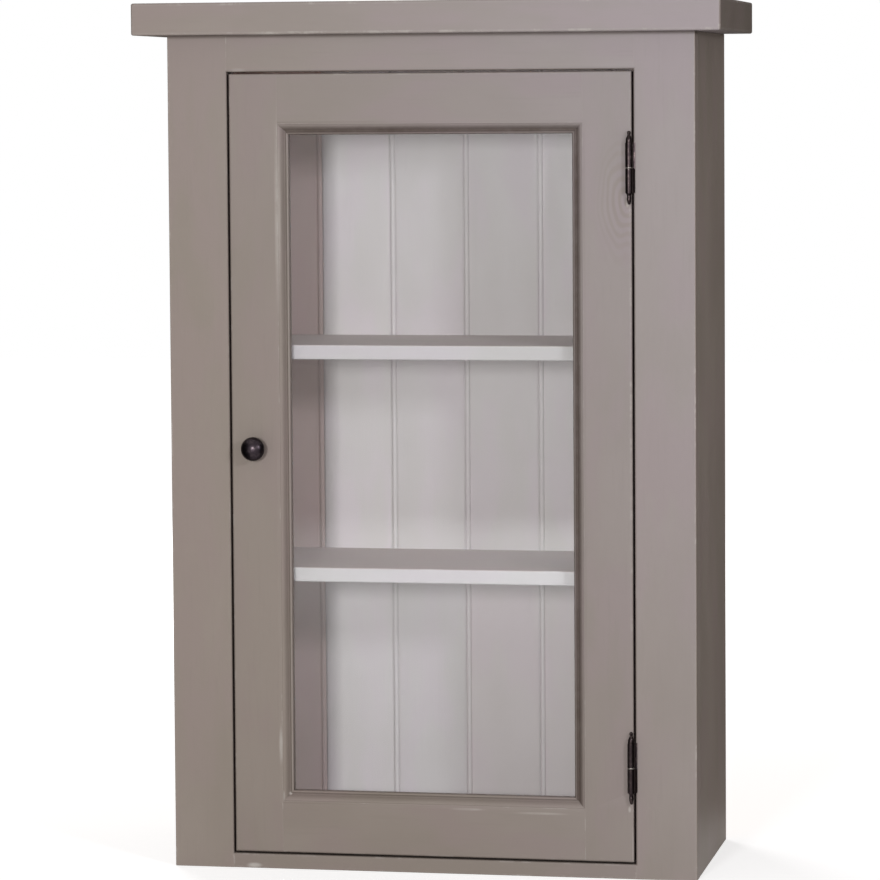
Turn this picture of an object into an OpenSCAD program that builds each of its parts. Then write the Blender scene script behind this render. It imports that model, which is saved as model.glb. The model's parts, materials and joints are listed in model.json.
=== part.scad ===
// Small painted cupboard with one glazed door, two fixed shelves and a beaded board back.
// Millimetres, +Z up, front towards -Y. The origin is the middle of the outline, at the floor.

/* [Body] */
// Width of the body across the face frame
body_w = 550; // [470:1:700]
// Height of the body under the top board
body_h = 867; // [780:1:1000]
// Depth of the body, face frame included
body_d = 240; // [200:1:320]
// Thickness of the two sides
side_t = 18; // [16:0.5:24]
// Thickness of the bottom board
bottom_t = 15.5; // [12:0.5:22]
// Depth of the housings that the bottom and the shelves sit in
housing_d = 6; // [3:0.5:8]

/* [Top board] */
// Thickness of the top board
top_t = 33; // [20:1:45]
// Overhang of the top board at each side
top_side = 30; // [10:1:60]
// Overhang of the top board at the front
top_front = 32; // [15:1:60]

/* [Face frame] */
// Thickness of the face frame
frame_t = 20; // [18:1:26]
// Width of each face stile
stile_w = 63; // [45:1:80]
// Height of the face rail above the door
frame_rail_h = 38; // [30:1:60]

/* [Door] */
// Gap between the door and the frame, all round
door_gap = 2; // [1.5:0.1:3]
// Thickness of the door
door_t = 20; // [19:0.5:24]
// Width of the door stiles
door_stile_w = 51; // [42:1:65]
// Height of the top door rail
door_top_h = 52; // [42:1:70]
// Height of the bottom door rail
door_bottom_h = 54; // [42:1:80]
// Thickness of the tenons
tenon_t = 7; // [5:0.5:9]
// Length of the tenons
tenon_len = 32; // [20:1:38]
// Shoulder above and below each tenon
tenon_shoulder = 5; // [3:0.5:8]
// Clearance round a tenon
tenon_clear = 0.2; // [0.1:0.05:0.3]

/* [Moulding and glass] */
// Width of the moulding round the glass
mould_w = 11; // [9:0.5:14]
// Depth of the moulding, from the door's face to the glass
mould_d = 8; // [7:0.5:9]
// Drop from the moulding's quirk to the door's face
quirk_d = 5; // [4:0.5:6]
// Thickness of the glass
glass_t = 3; // [2:0.5:4]
// Clearance between the edge of the glass and the door frame
glass_clear = 0.3; // [0.2:0.1:0.8]
// Width of the glazing beads behind the glass
bead_w = 10; // [8:0.5:12]
// Diameter of the glazing pins
bead_pin_d = 1.4; // [1:0.1:1.8]
// Length of the glazing pins
bead_pin_len = 20; // [15:1:25]

/* [Shelves] */
// Thickness of the shelves
shelf_t = 15; // [12:0.5:20]
// Height of the underside of the upper shelf
shelf_upper_z = 531; // [460:1:600]
// Height of the underside of the lower shelf
shelf_lower_z = 299; // [200:1:380]
// Gap between the door and the front of the shelves
shelf_gap = 2; // [2:0.5:6]

/* [Back] */
// Thickness of the back boards
back_t = 9; // [8:0.5:12]
// Face width that each whole back board covers
board_cover = 80.75; // [70:0.25:90]
// Sideways place of the joint nearest the middle
board_shift = -4; // [-12:1:12]
// Open joint between the faces of two boards
board_joint = 1; // [0.6:0.1:1.5]
// Width of the bead on each board
board_bead_w = 6; // [4:0.5:8]
// Width of the quirk beside the bead
board_quirk_w = 1.4; // [1:0.1:2]
// Depth of the quirk beside the bead
board_quirk_d = 2; // [1.4:0.1:2.2]
// Thickness of the tongues
tongue_t = 3; // [2:0.25:3.5]
// Length of the tongues
tongue_len = 5; // [3:0.5:7]
// Clearance round a tongue
tongue_clear = 0.2; // [0.1:0.05:0.3]
// Depth of the rebate in each side that holds the back boards
rebate_d = 9; // [6:0.5:12]
// Thickness of the two rails behind the back boards
back_rail_t = 22; // [18:1:28]
// Height of the hanging rail
hanging_rail_h = 70; // [64:1:90]
// Height of the lower back rail
lower_rail_h = 45; // [35:1:70]
// Width and height of the cleats under the top board
cleat_w = 22; // [18:1:28]
// Diameter of the holes for the wall screws
wall_hole_d = 5.5; // [4.5:0.5:7]
// Distance between the two wall holes
wall_hole_pitch = 400; // [300:1:420]
// Height of the wall holes above the lower edge of the hanging rail
wall_hole_rise = 25; // [18:1:32]

/* [Hinges] */
// Length of each hinge leaf and of its barrel
hinge_len = 51; // [45:1:60]
// Distance from the end of the door to the middle of a hinge
hinge_inset = 98; // [80:1:140]
// Diameter of the hinge barrel
barrel_d = 7.8; // [7:0.2:9]
// Gap between the barrel and the door's face
barrel_gap = 0.3; // [0.2:0.1:0.6]
// Distance from the door's edge to the hinge axis
barrel_inset = 2.1; // [1.6:0.1:2.4]
// Diameter of the hinge pin
hinge_pin_d = 4; // [3.4:0.2:4.8]
// Running clearance round the hinge pin
pin_clear = 0.05; // [0.03:0.01:0.08]
// Thickness of a hinge leaf
leaf_t = 1.5; // [1.2:0.1:2]
// Width of a hinge leaf, from the face of the door
leaf_w = 16; // [13:0.5:17]
// Thickness of the washer between the knuckles
washer_t = 1.6; // [1:0.2:2.4]
// Running clearance above and below the washer
washer_clear = 0.1; // [0.05:0.05:0.2]
// Length of each finial
finial_len = 12; // [8:0.5:15]

/* [Knob] */
// Diameter of the knob
knob_d = 25; // [20:0.5:32]
// Distance that the knob stands out from the door
knob_out = 23; // [18:0.5:27]
// Height of the knob's middle
knob_z = 440; // [380:1:500]
// Diameter of the knob's neck
knob_neck_d = 11; // [9:0.5:14]
// Diameter of the knob's foot
knob_foot_d = 15; // [13:0.5:18]
// Diameter of the screw that holds the knob
knob_screw_d = 4; // [3:0.5:5]

/* [Catch] */
// Length of the magnetic catch
catch_w = 42; // [36:1:50]
// Height of the magnetic catch
catch_h = 12; // [10:0.5:15]
// Depth of the magnetic catch
catch_d = 16; // [14:0.5:22]
// Thickness of the strike plate on the door
strike_t = 1.2; // [1:0.1:1.6]
// Gap between the magnet and the strike plate
strike_gap = 0.3; // [0.2:0.1:0.5]

/* [Screws] */
// Diameter of the wood screws in the cleats and back rails
wood_screw_d = 3.5; // [3:0.25:4.5]
// Length that a cleat or rail screw bites into the second board
wood_screw_bite = 12; // [9:0.5:13]
// Diameter of the small screws in the hinges and the catch
small_screw_d = 2.4; // [2:0.1:3]
// Length of the hinge screws
hinge_screw_len = 16; // [12:1:20]
// Clearance between a screw and its hole
screw_clear = 0.1; // [0.05:0.05:0.2]

/* [Hidden] */
$fn = 48;
taupe = [0.49, 0.45, 0.42];
cream = [0.78, 0.76, 0.74];
pine = [0.76, 0.62, 0.44];
bronze = [0.16, 0.13, 0.12];
steel = [0.62, 0.63, 0.65];
brass = [0.66, 0.55, 0.33];
clear_glass = [0.75, 0.85, 0.85, 0.35];
past = 1;

// Depths run from the face of the frame; y_face puts that face in the part's own frame.
y_face = (top_front - body_d) / 2;
half_w = body_w / 2;
inner_half = half_w - side_t;
board_half = inner_half + rebate_d;
board_y = body_d - back_rail_t - back_t;
rail_y = body_d - back_rail_t;
hanging_z = body_h - hanging_rail_h;
wall_hole_z = hanging_z + wall_hole_rise;
shelf_y = max(door_t, frame_t) + shelf_gap;

// Opening of the face frame, and the door in it
open_half = half_w - stile_w;
open_top = body_h - frame_rail_h;
door_half = open_half - door_gap;
door_z = bottom_t + door_gap;
door_h = open_top - door_z - door_gap;
door_top = door_z + door_h;

// Panel opening between the door's stiles and rails, and the sight size inside the moulding
panel_half = door_half - door_stile_w;
panel_z0 = door_z + door_bottom_h;
panel_z1 = door_top - door_top_h;
bead_y = mould_d + glass_t;
bead_t = door_t - bead_y;
pin_y = bead_y + bead_t / 2;

// Back boards: the joint numbered n lies between board n and board n + 1
board_count = 6;
function joint_x(n) = board_shift + (n - board_count / 2) * board_cover;
function board_x0(n) = n == 1 ? -board_half : joint_x(n - 1) + board_joint / 2;
function board_x1(n) = n == board_count ? board_half : joint_x(n) - board_joint / 2;
function board_mid(n) = (board_x0(n) + board_x1(n)) / 2;
tongue_y = board_y + back_t * 0.62;

// Screws in the back rails go through these boards
rail_screw_boards = [1, 3, 4, 6];
cleat_z = body_h - cleat_w;
rail_screw_top_z = body_h - cleat_w / 2;
rail_screw_low_z = bottom_t / 2;
rail_screw_len = back_rail_t + back_t + wood_screw_bite;
cleat_screw_len = cleat_w + wood_screw_bite;
cleat_y0 = frame_t;
cleat_y1 = board_y - cleat_w;
cleat_len = cleat_y1 - cleat_y0;
side_cleat_screw_y = [cleat_y0 + cleat_len * 0.15, cleat_y0 + cleat_len * 0.85];
side_cleat_up_y = [cleat_y0 + cleat_len * 0.3, cleat_y0 + cleat_len * 0.7];
back_cleat_up_x = [-inner_half * 0.6, inner_half * 0.6];

// Hinges
barrel_r = barrel_d / 2;
axis_x = door_half - barrel_inset;
axis_y = -(barrel_r + barrel_gap);
hinge_z = [door_z + hinge_inset, door_top - hinge_inset];
knuckle_gap = washer_t / 2 + washer_clear;
knuckle_len = hinge_len / 2 - knuckle_gap;
pin_bore_r = hinge_pin_d / 2 + pin_clear;
finial_stub = 2;
hinge_screw_z = [-hinge_len * 0.36, 0, hinge_len * 0.36];
hinge_screw_y = [leaf_w * 0.62, leaf_w * 0.4, leaf_w * 0.62];

// Knob on the middle of the left door stile
knob_x = -door_half + door_stile_w / 2;
knob_bore = 12;
knob_screw_len = door_t + knob_bore - 1.5;

// Catch under the upper shelf, behind the left door stile
catch_x = knob_x;
catch_z1 = shelf_upper_z;
catch_z0 = shelf_upper_z - catch_h;
catch_face = door_t + strike_t + strike_gap;
catch_y0 = catch_face + 1;
catch_screw_x = [-catch_w * 0.36, catch_w * 0.36];
catch_screw_len = catch_h + 8;
magnet_w = catch_w * 0.42;
magnet_h = catch_h * 0.5;
magnet_z0 = catch_z0 + (catch_h - magnet_h) / 2;
magnet_y1 = catch_y0 + catch_d * 0.7;
strike_w = catch_w * 0.6;
strike_h = catch_h + 2;
strike_z0 = catch_z0 - 1;
strike_screw_x = [-strike_w * 0.32, strike_w * 0.32];
strike_screw_len = 11;

// General shapes

// A box between two corners
module box(a, b) {
    translate(a) cube(b - a);
}

// Puts a piece, drawn with the face of the frame at y = 0, into the part's own frame
module placed() {
    translate([0, y_face, 0]) children();
}

// A countersunk wood screw along -Z, its head flush with z = 0
module wood_screw(d, len) {
    head_r = d;
    head_h = d * 0.6;
    tip = d;
    difference() {
        union() {
            translate([0, 0, -head_h]) cylinder(h = head_h, r1 = d / 2, r2 = head_r);
            translate([0, 0, -(len - tip)]) cylinder(h = len - tip - head_h, d = d);
            translate([0, 0, -len]) cylinder(h = tip, r1 = d * 0.12, r2 = d / 2);
        }
        cube([3 * d, d * 0.2, d * 0.4], center = true);
    }
}

// The hole for that screw, open past its head
module screw_hole(d, len) {
    r = d / 2 + screw_clear;
    head_r = d + screw_clear;
    head_h = d * 0.6;
    translate([0, 0, -head_h]) cylinder(h = head_h, r1 = r, r2 = head_r);
    translate([0, 0, -len - screw_clear]) cylinder(h = len, r = r);
    cylinder(h = past, r = head_r);
}

// Joinery

// Tenon of a rail that ends at x, on the side of dir, between z0 and z1
module tenon(x, dir, z0, z1, t) {
    x1 = x + dir * tenon_len;
    y0 = (t - tenon_t) / 2;
    box([min(x, x1), y0, z0 + tenon_shoulder], [max(x, x1), y0 + tenon_t, z1 - tenon_shoulder]);
}

// Mortise for that tenon, with its clearance
module mortise(x, dir, z0, z1, t) {
    c = tenon_clear;
    x1 = x + dir * (tenon_len + c);
    x0 = x - dir * past;
    y0 = (t - tenon_t) / 2 - c;
    y1 = (t + tenon_t) / 2 + c;
    box([min(x0, x1), y0, z0 + tenon_shoulder - c], [max(x0, x1), y1, z1 - tenon_shoulder + c]);
}

// Screws of the carcass

module at_side_cleat_screws(s) {
    for (y = side_cleat_screw_y)
        translate([s * (inner_half - cleat_w), y, body_h - cleat_w / 2])
            rotate([0, -s * 90, 0]) children();
}

module at_top_screws() {
    for (s = [-1, 1])
        for (y = side_cleat_up_y)
            translate([s * (inner_half - cleat_w / 2), y, cleat_z]) rotate([180, 0, 0]) children();
    for (x = back_cleat_up_x)
        translate([x, board_y - cleat_w / 2, cleat_z]) rotate([180, 0, 0]) children();
}

module at_rail_screws() {
    for (n = rail_screw_boards)
        for (z = [rail_screw_low_z, rail_screw_top_z])
            translate([board_mid(n), body_d, z]) rotate([-90, 0, 0]) children();
}

module at_wall_holes() {
    for (x = [-wall_hole_pitch / 2, wall_hole_pitch / 2])
        translate([x, body_d + past, wall_hole_z]) rotate([90, 0, 0]) children();
}

module wall_holes() {
    at_wall_holes() cylinder(h = back_rail_t + back_t + 2 * past, d = wall_hole_d);
}

// Body

module top_board() {
    color(taupe) difference() {
        box([-half_w - top_side, -top_front, body_h], [half_w + top_side, body_d, body_h + top_t]);
        at_top_screws() screw_hole(wood_screw_d, cleat_screw_len);
    }
}

// A carcass side; s is -1 on the left and 1 on the right
module side(s) {
    x_in = s * inner_half;
    x_out = s * half_w;
    x_h = s * (inner_half + housing_d);
    x_r = s * board_half;
    cut = s * (inner_half - past);
    difference() {
        box([min(x_in, x_out), frame_t, 0], [max(x_in, x_out), body_d, body_h]);
        box([min(cut, x_h), frame_t - past, -past], [max(cut, x_h), board_y + past, bottom_t]);
        for (z = [shelf_lower_z, shelf_upper_z])
            box([min(cut, x_h), shelf_y, z], [max(cut, x_h), board_y + past, z + shelf_t]);
        box([min(cut, x_r), board_y, -past], [max(cut, x_r), body_d + past, body_h + past]);
        at_side_cleat_screws(s) screw_hole(wood_screw_d, cleat_screw_len);
    }
}

module side_left() {
    color(taupe) side(-1);
}

module side_right() {
    color(taupe) side(1);
}

// The front of the bottom board shows between the face stiles
module bottom_board() {
    w = inner_half + housing_d;
    color(cream) difference() {
        union() {
            box([-w, frame_t, 0], [w, board_y, bottom_t]);
            box([-open_half, 0, 0], [open_half, frame_t + past, bottom_t]);
        }
        at_rail_screws() screw_hole(wood_screw_d, rail_screw_len);
    }
}

module shelf(z) {
    w = inner_half + housing_d;
    box([-w, shelf_y, z], [w, board_y, z + shelf_t]);
}

module shelf_upper() {
    color(cream) difference() {
        shelf(shelf_upper_z);
        at_catch_screws() screw_hole(small_screw_d, catch_screw_len);
    }
}

module shelf_lower() {
    color(cream) shelf(shelf_lower_z);
}

module face_stile(s) {
    x0 = s * open_half;
    x1 = s * half_w;
    difference() {
        box([min(x0, x1), 0, 0], [max(x0, x1), frame_t, body_h]);
        mortise(x0, s, open_top, body_h, frame_t);
    }
}

module face_stile_left() {
    color(taupe) face_stile(-1);
}

// The hinge side, let in for the leaves
module face_stile_right() {
    color(taupe) difference() {
        face_stile(1);
        leaf_pockets(open_half, 1);
    }
}

module face_rail_top() {
    color(taupe) union() {
        box([-open_half, 0, open_top], [open_half, frame_t, body_h]);
        for (s = [-1, 1])
            tenon(s * open_half, s, open_top, body_h, frame_t);
    }
}

// Section of a back board, with its tongue and bead on the left and its groove on the right
module board_section(n) {
    x0 = board_x0(n);
    x1 = board_x1(n);
    bead_r = board_bead_w / 2;
    difference() {
        union() {
            translate([x0, board_y]) square([x1 - x0, back_t]);
            if (n > 1)
                translate([x0 - tongue_len, tongue_y - tongue_t / 2]) square([tongue_len + past, tongue_t]);
        }
        if (n > 1)
            difference() {
                translate([x0 - past, board_y - past])
                    square([past + board_bead_w + board_quirk_w, past + board_quirk_d]);
                translate([x0 + bead_r, board_y + bead_r]) circle(r = bead_r);
            }
        if (n < board_count)
            translate([x1 - tongue_len - tongue_clear + board_joint, tongue_y - tongue_t / 2 - tongue_clear])
                square([tongue_len + past, tongue_t + 2 * tongue_clear]);
    }
}

module back_board(n) {
    color(cream) difference() {
        linear_extrude(height = body_h) board_section(n);
        at_rail_screws() screw_hole(wood_screw_d, rail_screw_len);
        wall_holes();
    }
}

module back_board_1() {
    back_board(1);
}

module back_board_2() {
    back_board(2);
}

module back_board_3() {
    back_board(3);
}

module back_board_4() {
    back_board(4);
}

module back_board_5() {
    back_board(5);
}

module back_board_6() {
    back_board(6);
}

module hanging_rail() {
    color(pine) difference() {
        box([-board_half, rail_y, hanging_z], [board_half, body_d, body_h]);
        at_rail_screws() screw_hole(wood_screw_d, rail_screw_len);
        wall_holes();
    }
}

module lower_back_rail() {
    color(pine) difference() {
        box([-board_half, rail_y, 0], [board_half, body_d, lower_rail_h]);
        at_rail_screws() screw_hole(wood_screw_d, rail_screw_len);
    }
}

module side_cleat(s) {
    x0 = s * (inner_half - cleat_w);
    x1 = s * inner_half;
    color(pine) difference() {
        box([min(x0, x1), cleat_y0, cleat_z], [max(x0, x1), cleat_y1, body_h]);
        at_side_cleat_screws(s) screw_hole(wood_screw_d, cleat_screw_len);
        at_top_screws() screw_hole(wood_screw_d, cleat_screw_len);
    }
}

module top_cleat_left() {
    side_cleat(-1);
}

module top_cleat_right() {
    side_cleat(1);
}

module top_cleat_back() {
    color(pine) difference() {
        box([-inner_half, cleat_y1, cleat_z], [inner_half, board_y, body_h]);
        at_top_screws() screw_hole(wood_screw_d, cleat_screw_len);
        at_rail_screws() screw_hole(wood_screw_d, rail_screw_len);
    }
}

module top_screws() {
    color(steel) at_top_screws() wood_screw(wood_screw_d, cleat_screw_len);
}

module cleat_screws() {
    color(steel)
        for (s = [-1, 1])
            at_side_cleat_screws(s) wood_screw(wood_screw_d, cleat_screw_len);
}

module rail_screws() {
    color(steel) at_rail_screws() wood_screw(wood_screw_d, rail_screw_len);
}

// Hinges

// Screws of one leaf, whose outer face is the plane x; dir points into the wood
module at_hinge_screws(z, x, dir) {
    for (i = [0:2])
        translate([x, hinge_screw_y[i], z + hinge_screw_z[i]]) rotate([0, -dir * 90, 0]) children();
}

// A plate let into the edge of the door or the frame, with its screw holes
module leaf_plate(z, x, dir) {
    x1 = x + dir * leaf_t;
    difference() {
        box([min(x, x1), 0, z - hinge_len / 2], [max(x, x1), leaf_w, z + hinge_len / 2]);
        at_hinge_screws(z, x, dir) screw_hole(small_screw_d, hinge_screw_len);
    }
}

// The pockets and screw holes for two such plates
module leaf_pockets(x, dir) {
    x0 = x - dir * past;
    x1 = x + dir * leaf_t;
    for (z = hinge_z) {
        box([min(x0, x1), -past, z - hinge_len / 2], [max(x0, x1), leaf_w, z + hinge_len / 2]);
        at_hinge_screws(z, x, dir) screw_hole(small_screw_d, hinge_screw_len);
    }
}

// A knuckle, from z0 upwards
module knuckle(z0) {
    translate([axis_x, axis_y, z0]) cylinder(h = knuckle_len, r = barrel_r);
}

module pin_bore(z) {
    translate([axis_x, axis_y, z - hinge_len]) cylinder(h = 2 * hinge_len, r = pin_bore_r);
}

// Leaf on the frame, with the lower knuckle; its web bends forward across the gap
module frame_leaf(z) {
    z0 = z - hinge_len / 2;
    reach = barrel_r * 0.4;
    color(bronze) difference() {
        union() {
            leaf_plate(z, open_half, 1);
            knuckle(z0);
            translate([0, 0, z0]) linear_extrude(height = knuckle_len) polygon([
                [open_half, past], [open_half + leaf_t, past], [open_half + leaf_t, -barrel_gap - leaf_t],
                [axis_x + barrel_r * 0.8, axis_y - reach], [axis_x + barrel_r * 0.5, axis_y],
                [axis_x + barrel_r * 0.8, axis_y + reach]
            ]);
        }
        pin_bore(z);
    }
}

// Leaf on the door, with the upper knuckle
module door_leaf(z) {
    z0 = z + knuckle_gap;
    color(bronze) difference() {
        union() {
            leaf_plate(z, door_half, -1);
            knuckle(z0);
            box([door_half - leaf_t, axis_y + barrel_r * 0.5, z0], [door_half, past, z0 + knuckle_len]);
        }
        pin_bore(z);
    }
}

module hinge_frame_leaf_upper() {
    frame_leaf(hinge_z[1]);
}

module hinge_frame_leaf_lower() {
    frame_leaf(hinge_z[0]);
}

module hinge_door_leaf_upper() {
    door_leaf(hinge_z[1]);
}

module hinge_door_leaf_lower() {
    door_leaf(hinge_z[0]);
}

module hinge_pins() {
    color(steel)
        for (z = hinge_z)
            translate([axis_x, axis_y, z - hinge_len / 2])
                cylinder(h = hinge_len - finial_stub, d = hinge_pin_d);
}

module hinge_washers() {
    color(brass)
        for (z = hinge_z)
            translate([axis_x, axis_y, z - washer_t / 2]) difference() {
                cylinder(h = washer_t, r = barrel_r);
                translate([0, 0, -past]) cylinder(h = washer_t + 2 * past, r = pin_bore_r);
            }
}

// A turned finial that stands on z = 0, with a stub that goes down into the knuckle
module finial(stub) {
    l = finial_len;
    r = barrel_r;
    color(bronze) rotate_extrude() union() {
        translate([0, -stub]) square([hinge_pin_d / 2, stub + past]);
        polygon([
            [0, 0], [r * 0.92, 0], [r * 0.92, l * 0.05], [r * 0.62, l * 0.2], [r * 0.5, l * 0.26],
            [r * 0.74, l * 0.33], [r * 0.8, l * 0.42], [r * 0.7, l * 0.52], [r * 0.44, l * 0.6],
            [r * 0.4, l * 0.68], [r * 0.54, l * 0.78], [r * 0.52, l * 0.88], [r * 0.34, l * 0.96], [0, l]
        ]);
    }
}

module hinge_finials_frame() {
    for (z = hinge_z)
        translate([axis_x, axis_y, z - hinge_len / 2]) rotate([180, 0, 0]) finial(0);
}

module hinge_finials_door() {
    for (z = hinge_z)
        translate([axis_x, axis_y, z + hinge_len / 2]) finial(finial_stub - 2 * pin_clear);
}

module hinge_screws_frame() {
    color(bronze)
        for (z = hinge_z)
            at_hinge_screws(z, open_half, 1) wood_screw(small_screw_d, hinge_screw_len);
}

module hinge_screws_door() {
    color(bronze)
        for (z = hinge_z)
            at_hinge_screws(z, door_half, -1) wood_screw(small_screw_d, hinge_screw_len);
}

// Door frame

module door_stile(s) {
    x0 = s * panel_half;
    x1 = s * door_half;
    difference() {
        box([min(x0, x1), 0, door_z], [max(x0, x1), door_t, door_top]);
        mortise(x0, s, door_z, panel_z0, door_t);
        mortise(x0, s, panel_z1, door_top, door_t);
        at_upright_pins(s) bead_pin_hole();
    }
}

module door_stile_left() {
    color(taupe) difference() {
        door_stile(-1);
        translate([knob_x, -past, knob_z]) rotate([-90, 0, 0])
            cylinder(h = door_t + 2 * past, d = knob_screw_d + 2 * screw_clear);
        at_strike_screws() screw_hole(small_screw_d, strike_screw_len);
    }
}

module door_stile_right() {
    color(taupe) difference() {
        door_stile(1);
        leaf_pockets(door_half, -1);
    }
}

module door_rail(z0, z1) {
    difference() {
        union() {
            box([-panel_half, 0, z0], [panel_half, door_t, z1]);
            for (s = [-1, 1])
                tenon(s * panel_half, s, z0, z1, door_t);
        }
        at_level_pins(0) bead_pin_hole();
        at_level_pins(1) bead_pin_hole();
    }
}

module door_rail_top() {
    color(taupe) door_rail(panel_z1, door_top);
}

module door_rail_bottom() {
    color(taupe) door_rail(door_z, panel_z0);
}

// Moulding: across it runs from the door frame at 0 to the sight edge at mould_w, and y is its depth
module mould_section() {
    w = mould_w;
    ovolo_w = w * 0.55;
    bead_r = (w - ovolo_w) / 2 - 0.3;
    steps = 8;
    polygon(concat(
        [[0, mould_d], [0, 0.7], [0.6, 0.5], [1.2, 0]],
        [for (i = [1:steps]) [
            1.2 + (ovolo_w - 1.2) * sin(90 * i / steps),
            quirk_d * (1 - cos(90 * i / steps)) ]],
        [for (i = [0:steps]) [
            w - bead_r - bead_r * cos(180 * i / steps),
            quirk_d - 0.6 + bead_r * 0.5 - bead_r * sin(180 * i / steps) ]],
        [[w, mould_d]]
    ));
}

// Section of a glazing bead, with its free corner rounded
module bead_section() {
    r = min(bead_w, bead_t) * 0.4;
    difference() {
        translate([0, bead_y]) square([bead_w, bead_t]);
        difference() {
            translate([bead_w - r, door_t - r]) square(r + past);
            translate([bead_w - r, door_t - r]) circle(r = r);
        }
    }
}

// Carries a section round the panel opening: side 0 is left, 1 right, 2 top and 3 bottom.
// The ends are cut to 45 degree mitres.
module carried(side_no, w) {
    h = panel_z1 - panel_z0;
    mid_z = (panel_z0 + panel_z1) / 2;
    upright = side_no < 2;
    run = upright ? h : 2 * panel_half;
    start = upright ? panel_half : h / 2;
    turn = [0, 180, 90, 270][side_no];
    translate([0, 0, mid_z]) rotate([0, turn, 0]) translate([-start, 0, 0]) intersection() {
        translate([0, 0, -run / 2]) linear_extrude(height = run) children();
        rotate([90, 0, 0]) translate([0, 0, -door_t - past]) linear_extrude(height = door_t + 2 * past)
            polygon([[0, -run / 2], [w, -run / 2 + w], [w, run / 2 - w], [0, run / 2]]);
    }
}

module moulding(side_no) {
    color(taupe) carried(side_no, mould_w) mould_section();
}

module moulding_left() {
    moulding(0);
}

module moulding_right() {
    moulding(1);
}

module moulding_top() {
    moulding(2);
}

module moulding_bottom() {
    moulding(3);
}

module glass_pane() {
    c = glass_clear;
    color(clear_glass)
        box([-panel_half + c, mould_d, panel_z0 + c], [panel_half - c, bead_y, panel_z1 - c]);
}

// A glazing pin along -Z, its head on z = 0
module bead_pin() {
    translate([0, 0, -bead_pin_len]) cylinder(h = bead_pin_len, d = bead_pin_d);
    cylinder(h = bead_pin_d * 0.4, d = bead_pin_d * 1.8);
}

module bead_pin_hole() {
    translate([0, 0, -bead_pin_len - screw_clear])
        cylinder(h = bead_pin_len + 2 * screw_clear, d = bead_pin_d + 2 * screw_clear);
}

module at_upright_pins(s) {
    for (f = [0.15, 0.5, 0.85])
        translate([s * (panel_half - bead_w), pin_y, panel_z0 + f * (panel_z1 - panel_z0)])
            rotate([0, -s * 90, 0]) children();
}

// level is 0 for the bottom bead and 1 for the top one
module at_level_pins(level) {
    z = level == 1 ? panel_z1 - bead_w : panel_z0 + bead_w;
    for (f = [-0.5, 0.5])
        translate([f * 2 * panel_half * 0.55, pin_y, z]) rotate([level == 1 ? 180 : 0, 0, 0]) children();
}

module glazing_bead(side_no) {
    color(taupe) difference() {
        carried(side_no, bead_w) bead_section();
        if (side_no == 0)
            at_upright_pins(-1) bead_pin_hole();
        if (side_no == 1)
            at_upright_pins(1) bead_pin_hole();
        if (side_no > 1)
            at_level_pins(3 - side_no) bead_pin_hole();
    }
}

module glazing_bead_left() {
    glazing_bead(0);
}

module glazing_bead_right() {
    glazing_bead(1);
}

module glazing_bead_top() {
    glazing_bead(2);
}

module glazing_bead_bottom() {
    glazing_bead(3);
}

module glazing_pins() {
    color(steel) {
        for (s = [-1, 1])
            at_upright_pins(s) bead_pin();
        for (level = [0, 1])
            at_level_pins(level) bead_pin();
    }
}

// Knob, turned about an axis through the door; its profile runs out from the door's face
module knob() {
    r = knob_d / 2;
    l = knob_out;
    crown = l * 0.42;
    rim = l - crown;
    steps = 10;
    neck = knob_neck_d / 2;
    color(bronze) translate([knob_x, 0, knob_z]) rotate([90, 0, 0]) difference() {
        rotate_extrude() polygon(concat(
            [[0, 0], [knob_foot_d / 2, 0], [knob_foot_d / 2, 1.6], [neck, 3.4],
             [neck * 0.92, l * 0.28], [neck * 1.05, l * 0.38]],
            [for (i = [0:3]) [
                r - (r - neck * 1.05) * cos(30 * i) * 0.8,
                l * 0.38 + (rim - l * 0.38) * sin(30 * i) ]],
            [for (i = [1:steps]) [r * cos(90 * i / steps), rim + crown * sin(90 * i / steps)]]
        ));
        translate([0, 0, -past]) cylinder(h = knob_bore + past, d = knob_screw_d + 2 * screw_clear);
    }
}

module knob_screw() {
    head_d = knob_screw_d * 2;
    head_h = knob_screw_d * 0.55;
    color(steel) translate([knob_x, door_t, knob_z]) rotate([-90, 0, 0]) difference() {
        union() {
            translate([0, 0, -knob_screw_len]) cylinder(h = knob_screw_len, d = knob_screw_d);
            cylinder(h = head_h, d = head_d);
        }
        translate([0, 0, head_h]) cube([head_d * 1.5, 1, head_h * 0.9], center = true);
    }
}

// Magnetic catch

module at_catch_screws() {
    for (x = catch_screw_x)
        translate([catch_x + x, catch_y0 + catch_d / 2, catch_z0]) rotate([180, 0, 0]) children();
}

module at_strike_screws() {
    for (x = strike_screw_x)
        translate([catch_x + x, door_t + strike_t, strike_z0 + strike_h / 2]) rotate([-90, 0, 0]) children();
}

module catch_case() {
    m = 0.2;
    color(cream) difference() {
        box([catch_x - catch_w / 2, catch_y0, catch_z0], [catch_x + catch_w / 2, catch_y0 + catch_d, catch_z1]);
        box([catch_x - magnet_w / 2 - m, catch_y0 - past, magnet_z0 - m],
            [catch_x + magnet_w / 2 + m, magnet_y1 + m, magnet_z0 + magnet_h + m]);
        at_catch_screws() screw_hole(small_screw_d, catch_screw_len);
    }
}

module catch_magnet() {
    color(steel) box([catch_x - magnet_w / 2, catch_face, magnet_z0],
        [catch_x + magnet_w / 2, magnet_y1, magnet_z0 + magnet_h]);
}

module catch_screws() {
    color(steel) at_catch_screws() wood_screw(small_screw_d, catch_screw_len);
}

module strike_plate() {
    color(steel) difference() {
        box([catch_x - strike_w / 2, door_t, strike_z0],
            [catch_x + strike_w / 2, door_t + strike_t, strike_z0 + strike_h]);
        at_strike_screws() screw_hole(small_screw_d, strike_screw_len);
    }
}

module strike_screws() {
    color(steel) at_strike_screws() wood_screw(small_screw_d, strike_screw_len);
}

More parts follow.
